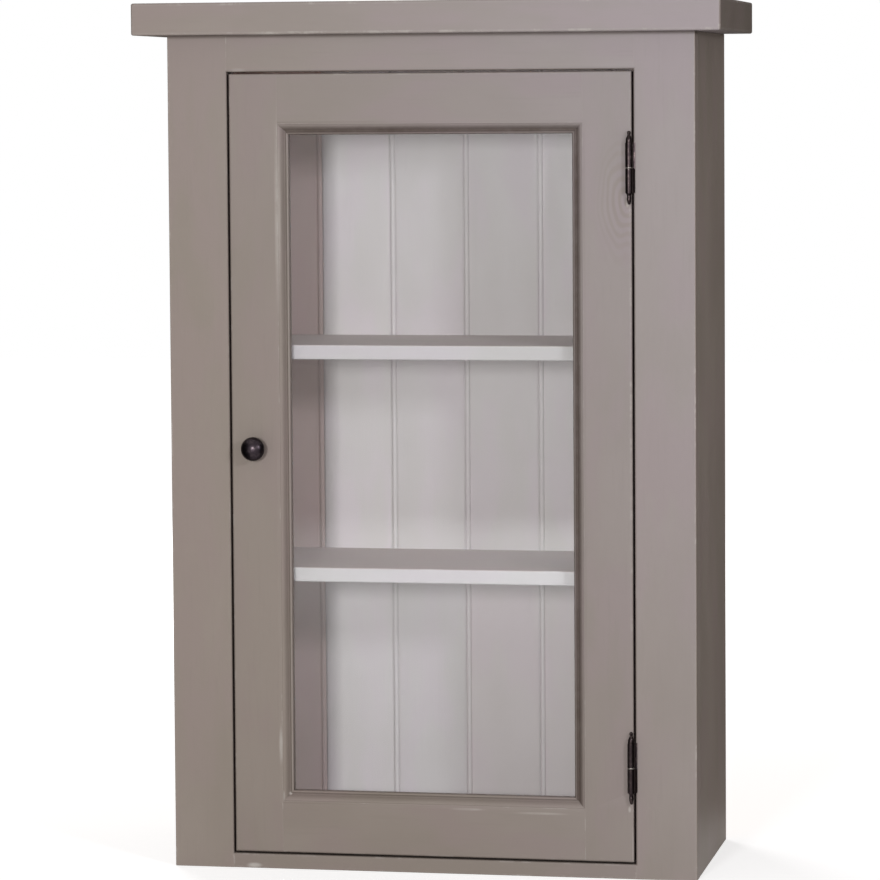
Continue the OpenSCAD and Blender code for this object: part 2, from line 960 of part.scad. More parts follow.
// Every node, drawn in the part's own frame
placed() top_board();
placed() side_left();
placed() side_right();
placed() bottom_board();
placed() shelf_upper();
placed() shelf_lower();
placed() face_stile_left();
placed() face_stile_right();
placed() face_rail_top();
placed() back_board_1();
placed() back_board_2();
placed() back_board_3();
placed() back_board_4();
placed() back_board_5();
placed() back_board_6();
placed() hanging_rail();
placed() lower_back_rail();
placed() top_cleat_left();
placed() top_cleat_right();
placed() top_cleat_back();
placed() top_screws();
placed() cleat_screws();
placed() rail_screws();
placed() hinge_frame_leaf_upper();
placed() hinge_frame_leaf_lower();
placed() hinge_pins();
placed() hinge_washers();
placed() hinge_finials_frame();
placed() hinge_screws_frame();
placed() catch_case();
placed() catch_magnet();
placed() catch_screws();
placed() door_stile_left();
placed() door_stile_right();
placed() door_rail_top();
placed() door_rail_bottom();
placed() moulding_left();
placed() moulding_right();
placed() moulding_top();
placed() moulding_bottom();
placed() glass_pane();
placed() glazing_bead_left();
placed() glazing_bead_right();
placed() glazing_bead_top();
placed() glazing_bead_bottom();
placed() glazing_pins();
placed() hinge_door_leaf_upper();
placed() hinge_door_leaf_lower();
placed() hinge_finials_door();
placed() hinge_screws_door();
placed() knob();
placed() knob_screw();
placed() strike_plate();
placed() strike_screws();
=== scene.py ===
"""Small painted cupboard with one glazed door: its fine shapes, paint and metal, in a pale studio.

Everything is in metres in the cupboard's own frame: +Z up, the front towards -Y, the origin on the
floor under the middle. Places come from the boxes of the packed pieces, so each new skin lies where
its piece lies. A board is sawn to a list of sections along its length, and a turned piece is a
profile carried round an axis.
"""

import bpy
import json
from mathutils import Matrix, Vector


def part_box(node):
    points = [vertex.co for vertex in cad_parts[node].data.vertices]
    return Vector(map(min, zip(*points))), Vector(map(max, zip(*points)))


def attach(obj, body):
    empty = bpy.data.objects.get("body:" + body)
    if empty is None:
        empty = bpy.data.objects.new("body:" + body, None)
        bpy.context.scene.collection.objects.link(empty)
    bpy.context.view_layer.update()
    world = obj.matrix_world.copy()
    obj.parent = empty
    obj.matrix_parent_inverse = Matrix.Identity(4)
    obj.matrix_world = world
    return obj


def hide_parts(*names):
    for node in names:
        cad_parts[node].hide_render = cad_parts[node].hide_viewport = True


bl_info = {
    "name": "Kitchen Cupboard",
    "version": (1, 0, 0),
    "blender": (4, 5, 0),
    "location": "3D View > Sidebar > Cupboard",
    "description": "Shapes and finishes of a small painted cupboard with a glazed door",
    "category": "Add Mesh",
}

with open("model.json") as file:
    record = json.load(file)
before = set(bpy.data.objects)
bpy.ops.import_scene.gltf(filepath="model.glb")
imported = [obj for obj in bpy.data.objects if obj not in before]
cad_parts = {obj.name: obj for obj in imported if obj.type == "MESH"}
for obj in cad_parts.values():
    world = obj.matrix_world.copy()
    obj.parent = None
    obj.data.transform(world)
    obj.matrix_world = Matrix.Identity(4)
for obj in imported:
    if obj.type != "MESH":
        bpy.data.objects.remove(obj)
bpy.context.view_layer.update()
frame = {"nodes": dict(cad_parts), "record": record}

import json
import math

import bmesh
import bpy
import numpy as np
from bpy.props import FloatProperty, FloatVectorProperty, IntProperty, PointerProperty
from mathutils import Matrix, Vector

AXES = "XYZ"
MARKS = ("arris", "grime")
TINY = 1e-9


# Places taken from the packed pieces


def box(node):
    """Lowest and highest corner of a packed piece, as arrays."""
    low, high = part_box(node)
    return np.array(low), np.array(high)


def body_of(node):
    """Name of the body that a packed piece moves with."""
    groups = frame["record"]["behaviour"]["bodies"]
    return next(body for body, nodes in groups.items() if node in nodes)


FACE_Y, FRAME_BACK_Y = (corner[1] for corner in box("face_stile_left"))
OPEN_HALF = box("face_stile_right")[0][0]
OPEN_TOP = box("face_rail_top")[0][2]
ROOM_HALF = box("top_cleat_back")[1][0]
ROOM_FLOOR = box("bottom_board")[1][2]
ROOM_TOP = box("side_left")[1][2]
BOARDS_Y = box("back_board_1")[0][1]
PANEL_HALF, DOOR_HALF = (corner[0] for corner in box("door_stile_right"))
MOULD_LOW, MOULD_HIGH = box("moulding_left")
PANEL_LOW, PANEL_HIGH = MOULD_LOW[2], MOULD_HIGH[2]
LEAF_NODES = ("hinge_frame_leaf_lower", "hinge_frame_leaf_upper")
LEAF_SPANS = [(box(node)[0][2], box(node)[1][2]) for node in LEAF_NODES]
LEAF_W = box(LEAF_NODES[0])[1][1] - FACE_Y
LEAF_T = box(LEAF_NODES[0])[1][0] - OPEN_HALF
PIN_LOW, PIN_HIGH = box("hinge_pins")
WASHER_LOW, WASHER_HIGH = box("hinge_washers")
BARREL_R = (WASHER_HIGH[0] - WASHER_LOW[0]) / 2
BACK_BOARDS = tuple(f"back_board_{number}" for number in range(1, 7))
BACK_PAINT_Y = BOARDS_Y + 0.0085  # further back the boards are bare wood
BEAD_CREST = 0.0085  # of a back board, from its left edge
BEAD_END = 0.0103
JOINT_W = 0.001  # between two back boards

# Rounding of arrises

SHARP = math.radians(38)  # shading breaks at steeper angles
HIDDEN_EASE = 0.0005  # arrises that the closed front hides
CREASE_EASE = 0.0008  # where the sanded margin begins

# Depths under a face where its own tone begins and is whole

END_SKIN = (0.0024, 0.0006)
FLANK_SKIN = (0.0011, 0.0003)
TOP_LIGHT_SKIN = (0.0014, 0.0002)

# Places made pale, rubbed wear and painted highlights: a point, a stretch of the axes, how far it reaches
# and how strong it is

# A painted highlight: a long pale band down the left stile and the left moulding, beside the sanded margin
HIGHLIGHT_BAND = (-PANEL_HALF - 0.0002, 0.0, 0.68), (1, 0, 0.035), 0.0042, 0.42
CHIPS = [((-0.152, 0.0, 0.0788), (1, 0, 1), 0.0024, 0.9),
         ((-0.1585, 0.0, 0.0765), (1, 0, 0.25), 0.002, 0.45)]
PALE_WEAR_AND_HIGHLIGHTS = {
    "top_board": [((-0.163, 0.0, 0.8665), (0.12, 0, 1), 0.0034, 0.45)],
    "bottom_board": [((-0.19, 0.0, 0.003), (0.35, 0, 1), 0.0036, 0.95)],
    "face_rail_top": [((-0.2, 0.0, 0.831), (0.25, 0, 1), 0.0026, 0.3)],
    "door_stile_left": [HIGHLIGHT_BAND, ((-0.2, 0.0, 0.829), (0.25, 0, 1), 0.0026, 0.3),
                        ((-PANEL_HALF - 0.0016, 0.0, 0.13), (1, 0, 0.11), 0.0028, 0.6)],
    "door_stile_right": [((0.2055, 0.0, z), (1, 0, 0.5), 0.002, 0.8) for z in (0.692, 0.072)],
    "door_rail_bottom": [((0.037, 0.0, 0.0678), (0.08, 0, 1), 0.0018, 0.5),
                         ((0.114, 0.0, 0.0655), (0.05, 0, 1), 0.0018, 0.4)],
    # Besides its chips, the left moulding has a painted highlight along its bead, the whole height
    "moulding_left": [HIGHLIGHT_BAND, ((-PANEL_HALF + 0.0096, 0.0, 0.0), (1, 0, 0), 0.0016, 0.22), *CHIPS],
    "moulding_bottom": CHIPS,
}
# A painted highlight along the crest of each bead on the back boards
PALE_WEAR_AND_HIGHLIGHTS |= {node: [((float(box(node)[0][0]) + BEAD_CREST, 0.0, 0.0), (1, 0, 0), 0.002, 0.7)]
           for node in BACK_BOARDS[2:]}

# Knots: a point, how far its rings reach and how far apart they are

KNOTS = {"door_stile_right": [((0.206, FACE_Y, 0.694), 0.042, 0.005)]}

# How strong the painted shade is on each moulding: strongest on the top and right ones

MOULDING_SHADE = {"moulding_left": 0.4, "moulding_right": 0.9, "moulding_top": 0.9, "moulding_bottom": 0.32}

# Number of each finish, which moves its grain and its brush marks to a stretch of their own

SEEDS = {
    "top_board": 1, "side_left": 2, "side_right": 3, "bottom_board": 5, "shelf_lower": 6,
    "shelf_upper": 7, "face_stile_left": 8, "face_stile_right": 9, "face_rail_top": 10,
    "door_stile_left": 11, "door_stile_right": 12, "door_rail_top": 13, "door_rail_bottom": 14,
    "moulding_left": 15, "moulding_right": 16, "moulding_top": 17, "moulding_bottom": 18,
    "joints": 27, "bare_rails": 31, "bare_cleats": 32, "upright_beads": 41, "level_beads": 42,
}
SEEDS |= {node: seed for seed, node in enumerate(BACK_BOARDS, 21)}


# Sizes and colours that a user would change


def srgb(red, green, blue):
    """A colour given as screen values from 0 to 255, as the linear values that shaders take."""
    value = np.array([red, green, blue]) / 255
    linear = np.where(value <= 0.04045, value / 12.92, ((value + 0.055) / 1.055) ** 2.4)
    return tuple(float(part) for part in linear)


def length(name, description, default, least=0.0, most=10.0):
    """A property that holds a length in metres."""
    return FloatProperty(name=name, description=description, default=default, min=least, max=most,
                         precision=5, unit="LENGTH")


def share(name, description, default):
    """A property that holds a plain number from 0 to 1."""
    return FloatProperty(name=name, description=description, default=default, min=0.0, max=1.0)


def colour(name, description, default):
    """A property that holds a colour."""
    return FloatVectorProperty(name=name, description=description, default=default, min=0.0, max=1.0,
                               size=3, subtype="COLOR")


def angle(name, description, degrees):
    """A property that holds an angle, given here in degrees."""
    return FloatProperty(name=name, description=description, default=math.radians(degrees),
                         subtype="ANGLE")


def place(name, description, default):
    """A property that holds a place."""
    return FloatVectorProperty(name=name, description=description, default=default, size=3,
                               subtype="TRANSLATION")


def power(name, description, default):
    """A property that holds the power of a lamp."""
    return FloatProperty(name=name, description=description, default=default, min=0.0, unit="POWER")


def oblong(name, description, default):
    """A property that holds a width and a height in metres."""
    return FloatVectorProperty(name=name, description=description, default=default, min=0.0, size=2,
                               unit="LENGTH")


class CupboardShape(bpy.types.PropertyGroup):
    """Fine shapes of the woodwork."""

    top_ease: length("Top board ease", "Rounding of the top board's edges", 0.0022, 0.0002, 0.006)
    board_ease: length("Shelf ease", "Rounding of the shelves' front edges", 0.0016, 0.0002, 0.005)
    frame_ease: length("Frame ease", "Rounding of the edges of frame and door", 0.001, 0.0002, 0.003)
    joint_ease: length("Joint ease", "Rounding where painted pieces meet", 0.00008, 0.00004, 0.001)
    fade: length("Fade", "Strip that keeps shading off the flats", 0.0012, 0.0004, 0.004)
    ease_steps: IntProperty(name="Ease steps", description="Facets in each rounding", default=4, min=2,
                            max=8)
    margin_w: length("Margin width", "Width of the sanded margin", 0.0032, 0.001, 0.01)
    margin_d: length("Margin depth", "Depth of that margin at the moulding", 0.0005, 0.0, 0.002)
    tenon_t: length("Tenon thickness", "Thickness of the tenons", 0.007, 0.004, 0.01)
    tenon_shoulder: length("Tenon shoulder", "Step above and below each tenon", 0.005, 0.002, 0.01)
    tenon_clear: length("Tenon clearance", "Room round each tenon in its mortise", 0.0002, 0.0, 0.001)


class CupboardPaint(bpy.types.PropertyGroup):
    """Paint on the outside and in the room behind the door."""

    body_colour: colour("Body colour", "Grey-brown paint of the outside", srgb(144, 133, 124))
    # Lighter, cooler copy of the body paint that it turns to towards the upper right: a painted sheen
    sheen_colour: colour("Cool colour", "Its cooler tone towards the upper right", srgb(154, 146, 146))
    door_tone: share("Door tone", "How light the door's paint is beside the frame's", 0.94)
    room_colour: colour("Room colour", "Off-white paint of the room", srgb(212, 206, 206))
    shelf_colour: colour("Shelf colour", "Off-white paint of the shelves", srgb(201, 197, 198))
    undercoat: colour("Undercoat", "Pale undercoat where edges are worn", srgb(182, 175, 168))
    # The colour of painted shade: in the moulding's hollows, on the top and right mouldings, and in and
    # beside the gap round the door
    grime: colour("Grime", "Dark deposit in the quirks", srgb(74, 62, 55))
    roughness: share("Roughness", "Roughness of the paint", 0.55)
    gloss: share("Gloss", "Specular level of the body paint", 0.16)
    room_gloss: share("Room gloss", "Specular level of the room paint", 0.04)
    wear: share("Wear", "How much undercoat shows on the edges", 0.47)
    relief: length("Relief", "Depth of the brush marks and grain", 0.00008, 0.0, 0.002)
    joint_depth: length("Joint depth", "Depth of the paint in the back's joints", 0.0008, 0.0, 0.003)


class CupboardWood(bpy.types.PropertyGroup):
    """Bare wood of the rails, the cleats and the backs of the boards."""

    pale: colour("Pale wood", "Early wood", srgb(205, 172, 128))
    dark: colour("Dark wood", "Late wood", srgb(160, 116, 72))
    roughness: share("Roughness", "Roughness of the bare wood", 0.62)


class CupboardMetal(bpy.types.PropertyGroup):
    """Hinges, knob, screws and catch."""

    bronze: colour("Bronze", "Dark bronze of the hinges and the knob", srgb(44, 37, 38))
    bronze_worn: colour("Worn bronze", "Bronze where hands have rubbed it", srgb(74, 64, 62))
    brass: colour("Brass", "Washers between the knuckles", srgb(132, 126, 120))
    steel: colour("Steel", "Screws, pins and strike plate", srgb(168, 168, 170))
    plastic: colour("Plastic", "Case of the catch", srgb(222, 219, 210))
    bronze_roughness: share("Bronze roughness", "Roughness of the bronze", 0.34)


class CupboardStage(bpy.types.PropertyGroup):
    """Camera, lamps and floor."""

    lens: FloatProperty(name="Lens", description="Focal length on a 36 mm wide frame", default=166.73,
                        min=20.0, max=400.0, unit="CAMERA")
    shift_y: FloatProperty(name="Shift", description="Vertical shift of the frame", default=-0.0898)
    camera_place: place("Camera", "Place of the camera", (0.8143, -4.2006, 0.7999))
    yaw: angle("Yaw", "Turn of the camera to its left", 11.099)
    pitch: angle("Pitch", "Tilt of the camera downwards", 3.678)
    roll: angle("Roll", "Turn of the camera about its own axis", 0.388)
    key_place: place("Key", "Place of the key lamp", (-0.125, -3.6, 0.85))
    key_power: power("Key power", "Power of the key lamp", 57.5)
    key_size: oblong("Key size", "Width and height of the key lamp", (0.33, 0.5))
    key_colour: colour("Key colour", "Slightly cool light of the key lamp", (0.965, 0.985, 1.0))
    fill_place: place("Fill", "Place of the fill lamp", (1.43, -1.64, 1.05))
    fill_power: power("Fill power", "Power of the fill lamp", 12.0)
    fill_size: oblong("Fill size", "Width and height of the fill lamp", (0.25, 0.25))
    fill_colour: colour("Fill colour", "Cool light of the fill lamp", (0.9, 0.93, 1.0))
    back_place: place("Back", "Place of the lamp behind the cupboard", (-1.7, 2.7, 1.3))
    back_power: power("Back power", "Power of the back lamp", 50.0)
    back_size: oblong("Back size", "Width and height of the back lamp", (1.2, 1.2))
    back_colour: colour("Back colour", "White light of the back lamp", (1.0, 1.0, 1.0))
    ambient: share("Ambient", "Strength of the soft light from all round", 0.35)
    ambient_colour: colour("Ambient colour", "Colour of the soft light", (1.0, 0.935, 0.895))
    flag_radius: length("Flag radius", "Radius of the dark card round the cupboard", 2.6)
    flag_gap: angle("Flag gap", "Angle in front that the dark card leaves open", 78)
    floor_colour: colour("Floor", "Colour of the floor", (0.7, 0.7, 0.7))
    floor_glow: share("Floor glow", "White that the floor adds near the cupboard", 0.6)
    far_glow: share("Far glow", "White that the floor adds further away", 0.82)
    floor_size: length("Floor size", "Side of the floor", 16.0, 1.0, 60.0)


GROUPS = {
    "cupboard_shape": CupboardShape,
    "cupboard_paint": CupboardPaint,
    "cupboard_wood": CupboardWood,
    "cupboard_metal": CupboardMetal,
    "cupboard_stage": CupboardStage,
}


# Skins: points, faces and a mark for each point that says how far it is worn, and how much painted shade
# lies on it


def skinned(rings, capped=True, **marks):
    """Joins rings of as many points each into one closed skin.

    Ring n is joined to ring n + 1 by four-sided faces, round the whole ring, and with capped the
    first and the last ring are closed by one face each. A mark that isn't given is 0 everywhere.
    """
    count, size = rings.shape[:2]
    first = np.arange(count - 1)[:, None] * size
    here = np.arange(size)[None, :]
    after = (here + 1) % size
    quads = np.stack([first + here, first + after, first + size + after, first + size + here], axis=-1)
    faces = quads.reshape(-1, 4).tolist()
    if capped:
        last = (count - 1) * size
        faces += [list(range(size))[::-1], list(range(last, last + size))]
    skin = {name: np.ravel(marks.get(name, np.zeros(count * size))) for name in MARKS}
    return {"points": rings.reshape(-1, 3), "faces": faces, **skin}


def eased(corners, setbacks, shape):
    """Outline with each corner eased by a quadratic Bezier.

    With a and b the unit directions from a corner P to its neighbours and r its setback, the corner
    becomes P + (r + fade)a, the curve (1-t)(1-t)(P + ra) + 2t(1-t)P + tt(P + rb), and P + (r + fade)b.
    Gives the points, and marks that are 0 on the flats and 1 + a.b on the curves: 1 at a square arris.
    """
    most_r, most_far = 0.4, 0.48
    to_last = np.roll(corners, 1, axis=0) - corners
    to_next = np.roll(corners, -1, axis=0) - corners
    reach_last = np.linalg.norm(to_last, axis=1, keepdims=True)
    reach_next = np.linalg.norm(to_next, axis=1, keepdims=True)
    a = to_last / np.maximum(reach_last, TINY)
    b = to_next / np.maximum(reach_next, TINY)
    r = np.minimum(setbacks[:, None], most_r * np.minimum(reach_last, reach_next))
    spread = shape.fade * (r > TINY)
    far_a = np.minimum(r + spread, most_far * reach_last)
    far_b = np.minimum(r + spread, most_far * reach_next)
    t = np.linspace(0, 1, shape.ease_steps + 1)[None, :, None]
    start = (corners + r * a)[:, None]
    end = (corners + r * b)[:, None]
    curve = (1 - t) ** 2 * start + 2 * t * (1 - t) * corners[:, None] + t**2 * end
    before, after = (corners + far_a * a)[:, None], (corners + far_b * b)[:, None]
    points = np.concatenate([before, curve, after], axis=1)
    marks = np.zeros(points.shape[:2])
    marks[:, 1:-1] = (r > TINY) * np.clip(1 + np.sum(a * b, axis=1, keepdims=True), 0, 1)
    return points.reshape(-1, 2), marks.reshape(-1)


def sawn(sections, axis, end_ease, shape):
    """Skin of a board with the given sections along its length.

    A section is its place along the axis, its corners across the axis and their setbacks. Each end
    is eased to a radius r: at angle q its ring lies r(1 - cos q) in from the end, and its corners
    are held r(1 - sin q) inside the board's outline. The cap itself isn't worn.
    """
    least_left = 0.05
    rings, marks = [], []

    def ring(spot, corners, setbacks, inset, wear):
        held = np.clip(corners, corners.min(0) + inset, corners.max(0) - inset)
        left = np.where(setbacks > 0, np.maximum(setbacks - inset, least_left * setbacks), 0.0)
        points, mark = eased(held, left, shape)
        rings.append(np.insert(points, AXES.index(axis), spot, axis=1))
        marks.append(np.zeros(len(mark)) if wear is None else np.maximum(mark, wear))

    def end(section, way):
        spot, corners, setbacks = section
        beyond = end_ease + shape.fade
        made = [(spot, beyond, None)]
        for q in np.linspace(0, math.pi / 2, shape.ease_steps + 1):
            made.append((spot + way * end_ease * (1 - math.cos(q)), end_ease * (1 - math.sin(q)), 1.0))
        made.append((spot + way * beyond, 0.0, 0.0))
        for moved, inset, wear in made[::way]:
            ring(moved, corners, setbacks, inset, wear)

    end(sections[0], 1)
    for section in sections[1:-1]:
        ring(*section, 0.0, 0.0)
    end(sections[-1], -1)
    return skinned(np.array(rings), arris=np.array(marks))


def turned(profile, centre, axis, around, way=1):
    """Skin of a turned piece: each (radius, height) of its profile carried round the axis.

    A point at angle q lies at radius·cos q and radius·sin q across the axis, and at height along it,
    where way is 1 or -1. A profile ends on the axis, or where it began.
    """
    q = np.linspace(0, 2 * math.pi, around, endpoint=False)[None, :]
    radius = profile[:, :1]
    across = np.stack([radius * np.cos(q), radius * np.sin(q)], axis=-1)
    height = np.broadcast_to(way * profile[:, 1:], across.shape[:2])
    rings = np.insert(across, AXES.index(axis), height, axis=2) + np.asarray(centre)
    return skinned(rings, capped=False)


def spline(points, steps):
    """Catmull-Rom curve through the points.

    Over the span from P1 to P2, with P0 before and P3 after it, the curve is half of
    2P1 + (P2 - P0)t + (2P0 - 5P1 + 4P2 - P3)tt + (3P1 - P0 - 3P2 + P3)ttt.
    """
    points = np.asarray(points, float)
    padded = np.concatenate([points[:1], points, points[-1:]])
    p0, p1, p2, p3 = (padded[k:len(padded) - 3 + k, None] for k in range(4))
    t = np.linspace(0, 1, steps, endpoint=False)[None, :, None]
    curve = 2 * p1 + (p2 - p0) * t + (2 * p0 - 5 * p1 + 4 * p2 - p3) * t**2
    curve = (curve + (3 * p1 - p0 - 3 * p2 + p3) * t**3) / 2
    return np.concatenate([curve.reshape(-1, points.shape[1]), points[-1:]])


def linked(name, data):
    """An object of the scene that holds a mesh, a lamp or a camera."""
    made = bpy.data.objects.new(name, data)
    bpy.context.scene.collection.objects.link(made)
    return made


def built(name, skins, material, sharp=SHARP):
    """An object from closed skins, faces outwards, with their marks as attributes."""
    weld, sliver = 2e-6, 1e-7
    mesh = bpy.data.meshes.new(name)
    starts = np.cumsum([0] + [len(skin["points"]) for skin in skins]).tolist()
    faces = [[v + start for v in face] for skin, start in zip(skins, starts) for face in skin["faces"]]
    mesh.from_pydata(np.concatenate([skin["points"] for skin in skins]).tolist(), [], faces)
    for mark in MARKS:
        values = np.concatenate([skin[mark] for skin in skins]).astype(np.float32)
        mesh.attributes.new(mark, "FLOAT", "POINT").data.foreach_set("value", values)
    work = bmesh.new()
    work.from_mesh(mesh)
    bmesh.ops.remove_doubles(work, verts=work.verts, dist=weld)
    bmesh.ops.dissolve_degenerate(work, dist=sliver, edges=work.edges)
    bmesh.ops.recalc_face_normals(work, faces=work.faces)
    work.to_mesh(mesh)
    work.free()
    mesh.shade_smooth()
    mesh.set_sharp_from_angle(angle=sharp)
    mesh.materials.append(material)
    return linked(name, mesh)


def finished(node, skins, material, slot, sharp=SHARP):
    """The piece that stands for a packed node."""
    piece = built(f"finished_{node}", skins, material, sharp)
    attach(piece, body_of(node))
    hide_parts(node)


def dress(material, *nodes):
    """Gives packed pieces that keep their own shape a better material."""
    for node in nodes:
        piece = frame["nodes"][node]
        if not piece.data.materials:
            piece.data.materials.append(material)
        for held in piece.material_slots:
            held.material = material


def sheet(name, points, material):
    """An object through a grid of points: a face joins points n and n + 1 of a row with the next row's."""
    rows, columns = points.shape[:2]
    first = (np.arange(rows - 1)[:, None] * columns + np.arange(columns - 1)).reshape(-1, 1)
    mesh = bpy.data.meshes.new(name)
    faces = first + [0, columns, columns + 1, 1]
    mesh.from_pydata(points.reshape(-1, 3).tolist(), [], faces.tolist())
    mesh.materials.append(material)
    return linked(name, mesh)


# Materials


def toned(rgb, factor, tint=(1.0, 1.0, 1.0)):
    """A colour made lighter or darker, and tinted."""
    return tuple(min(1.0, part * factor * shade) for part, shade in zip(rgb, tint))


def along(grain, across, length):
    """Scales that stretch a pattern along the grain."""
    return tuple(length if axis == grain else across for axis in AXES)


def on_face(axis, face, way, depths, rgb):
    """Tone of the face of a board that looks towards way along the axis, and how deep it goes."""
    return axis, face - way * depths[0], face - way * depths[1], rgb


class Recipe:
    """A material or a world being mixed: each method adds a shader node and gives back its output."""

    def __init__(self, name, family="materials"):
        self.made = getattr(bpy.data, family).new(name)
        self.made.use_nodes = True
        self.tree = self.made.node_tree
        self.tree.nodes.clear()
        self.spots = self.add("TexCoord", {}, "Object")

    def add(self, kind, inputs, output=0, **settings):
        """A shader node whose inputs are linked to other outputs or filled with values."""
        node = self.tree.nodes.new("ShaderNode" + kind)
        for name, value in settings.items():
            setattr(node, name, value)
        for name, value in inputs.items():
            socket = node.inputs[name]
            if isinstance(value, bpy.types.NodeSocket):
                self.tree.links.new(value, socket)
            else:
                socket.default_value = (*value, 1.0) if socket.type == "RGBA" else value
        return node.outputs[output] if len(node.outputs) else None

    def place(self, scale, shift):
        return self.add("Mapping", {"Vector": self.spots, "Location": shift, "Scale": scale})

    def noise(self, scale, shift=(0, 0, 0), detail=2.0, roughness=0.5):
        inputs = {"Vector": self.place(scale, shift), "Scale": 1.0, "Detail": detail,
                  "Roughness": roughness}
        return self.add("TexNoise", inputs)

    def math(self, operation, a, b=0.0, clamp=False):
        return self.add("Math", {0: a, 1: b}, operation=operation, use_clamp=clamp)

    def times(self, a, b):
        return self.math("MULTIPLY", a, b)

    def plus(self, a, b):
        return self.math("ADD", a, b)

    def reach(self, value, low, high, to_low=0.0, to_high=1.0):
        inputs = {"Value": value, "From Min": low, "From Max": high, "To Min": to_low, "To Max": to_high}
        return self.add("MapRange", inputs, interpolation_type="SMOOTHSTEP")

    def mix(self, factor, first, second):
        return self.add("Mix", {0: factor, 6: first, 7: second}, 2, data_type="RGBA")

    def mark(self, name):
        return self.add("Attribute", {}, "Fac", attribute_name=name)

    def axis(self, name):
        return self.add("SeparateXYZ", {0: self.spots}, name)

    def off(self, axis, middle=0.0):
        """Distance from a middle along one axis."""
        return self.math("ABSOLUTE", self.math("SUBTRACT", self.axis(axis), middle))

    def distance(self, point, scale=(1, 1, 1)):
        """Distance from a point, measured after stretching the axes by scale."""
        moved = self.place(scale, tuple(-p * s for p, s in zip(point, scale)))
        return self.add("VectorMath", {0: moved}, "Value", operation="LENGTH")

    def rays(self, *kinds):
        """1 for rays of the named kinds, and 0 for others."""
        found = 0.0
        for kind in kinds:
            found = self.math("MAXIMUM", found, self.add("LightPath", {}, f"Is {kind} Ray"))
        return found

    def either(self, factor, first, second):
        return self.add("MixShader", {0: factor, 1: first, 2: second})

    def bump(self, height, distance):
        return self.add("Bump", {"Height": height, "Distance": distance})

    def surface(self, **inputs):
        named = {name.replace("_", " "): value for name, value in inputs.items()}
        return self.add("BsdfPrincipled", named)

    def done(self, shader, family="Material"):
        self.add("Output" + family, {"Surface": shader})
        return self.made


def wood_marks(recipe, grain, seed):
    """Patterns that wooden pieces share: slow clouds, tints, brush streaks and growth rings."""
    shift = (seed * 3.7 + 0.3, seed * 5.3 + 0.7, seed * 7.9 + 0.1)
    rings = recipe.noise(along(grain, 9, 0.8), shift, 1.0)
    return {
        "clouds": recipe.noise(along(grain, 14, 6), shift, 3.0),
        "tints": recipe.noise(along(grain, 26, 9), shift[::-1], 2.0),
        "streaks": recipe.noise(along(grain, 260, 16), shift, 3.0, 0.6),
        "rings": recipe.math("SINE", recipe.times(rings, 110.0)),
    }


def brushed(recipe, rgb, marks):
    """Colour of brushed paint: clouds of tone, a mauve tint in places and thin darker streaks."""
    clouds = recipe.reach(marks["clouds"], 0.3, 0.7)
    base = recipe.mix(clouds, toned(rgb, 0.955, (1.0, 1.0, 0.98)), toned(rgb, 1.04))
    tints = recipe.reach(marks["tints"], 0.42, 0.66, 0.0, 0.8)
    tinted = recipe.mix(tints, base, toned(rgb, 1.0, (1.02, 0.98, 1.02)))
    streaks = recipe.reach(marks["streaks"], 0.52, 0.75, 0.0, 0.3)
    return recipe.mix(streaks, tinted, toned(rgb, 0.92))


def sheen_drift(recipe):
    """Share of the painted sheen: a slow change over the whole cupboard, from 0 at the lower left to 1 at
    the upper right, where the paint turns lighter and cooler as if lit.
    """
    return recipe.reach(recipe.plus(recipe.axis("X"), recipe.times(recipe.axis("Z"), 0.5)), -0.1, 0.9)


def bare(recipe, wood, marks, seed):
    """Colour of bare softwood: growth rings over pale wood, fine fibres, each board its own tone."""
    tone = 0.9 + 0.2 * (seed * 0.37 % 1)
    rings = recipe.reach(marks["rings"], 0.1, 1.0, 0.0, 0.42)
    base = recipe.mix(rings, toned(wood.pale, tone), toned(wood.dark, tone))
    fibres = recipe.reach(marks["streaks"], 0.45, 0.7, 0.0, 0.4)
    return recipe.mix(fibres, base, toned(wood.dark, 0.85 * tone))


def in_room(recipe):
    """1 on surfaces of the room behind the face frame, and 0 elsewhere."""
    edge = 0.0003
    inside = recipe.math("LESS_THAN", recipe.off("X"), ROOM_HALF + edge)
    for test, axis, limit in (
        ("GREATER_THAN", "Y", FRAME_BACK_Y - edge),
        ("LESS_THAN", "Y", BACK_PAINT_Y),
        ("GREATER_THAN", "Z", ROOM_FLOOR - edge),
        ("LESS_THAN", "Z", ROOM_TOP + edge),
    ):
        inside = recipe.times(inside, recipe.math(test, recipe.axis(axis), limit))
    return inside


def gap_and_overhang_shade(recipe):
    """Share of painted shade in and close beside the gap round the door, and of a painted shadow line
    along the face frame just under the top board's overhang.

    The gap's middle is a rectangle of half sides u, v, and a point at x, z from its centre lies
    |max(|x| - u, |z| - v)| away from it. Its centre lies a hair to the right of the opening's and above.
    """
    right, high = 0.00025, 0.0002
    gap = OPEN_HALF - DOOR_HALF
    u, v = (OPEN_HALF + DOOR_HALF) / 2, (OPEN_TOP - ROOM_FLOOR - gap) / 2
    x = recipe.math("SUBTRACT", recipe.off("X", right), u)
    z = recipe.math("SUBTRACT", recipe.off("Z", (ROOM_FLOOR + OPEN_TOP) / 2 + high), v)
    away = recipe.math("ABSOLUTE", recipe.math("MAXIMUM", x, z))
    # Painted shade beside the gap, on the pieces in front of the face frame's back
    beside = recipe.reach(away, gap / 2 - 0.0002, gap / 2 + 0.002, 0.75, 0.0)
    beside = recipe.times(beside, recipe.math("LESS_THAN", recipe.axis("Y"), FRAME_BACK_Y))
    # Painted shadow on the face frame just under the top board's overhang
    under_top = recipe.reach(recipe.axis("Z"), ROOM_TOP - 0.0042, ROOM_TOP - 0.001, 0.0, 0.6)
    return recipe.math("MAXIMUM", beside, under_top)


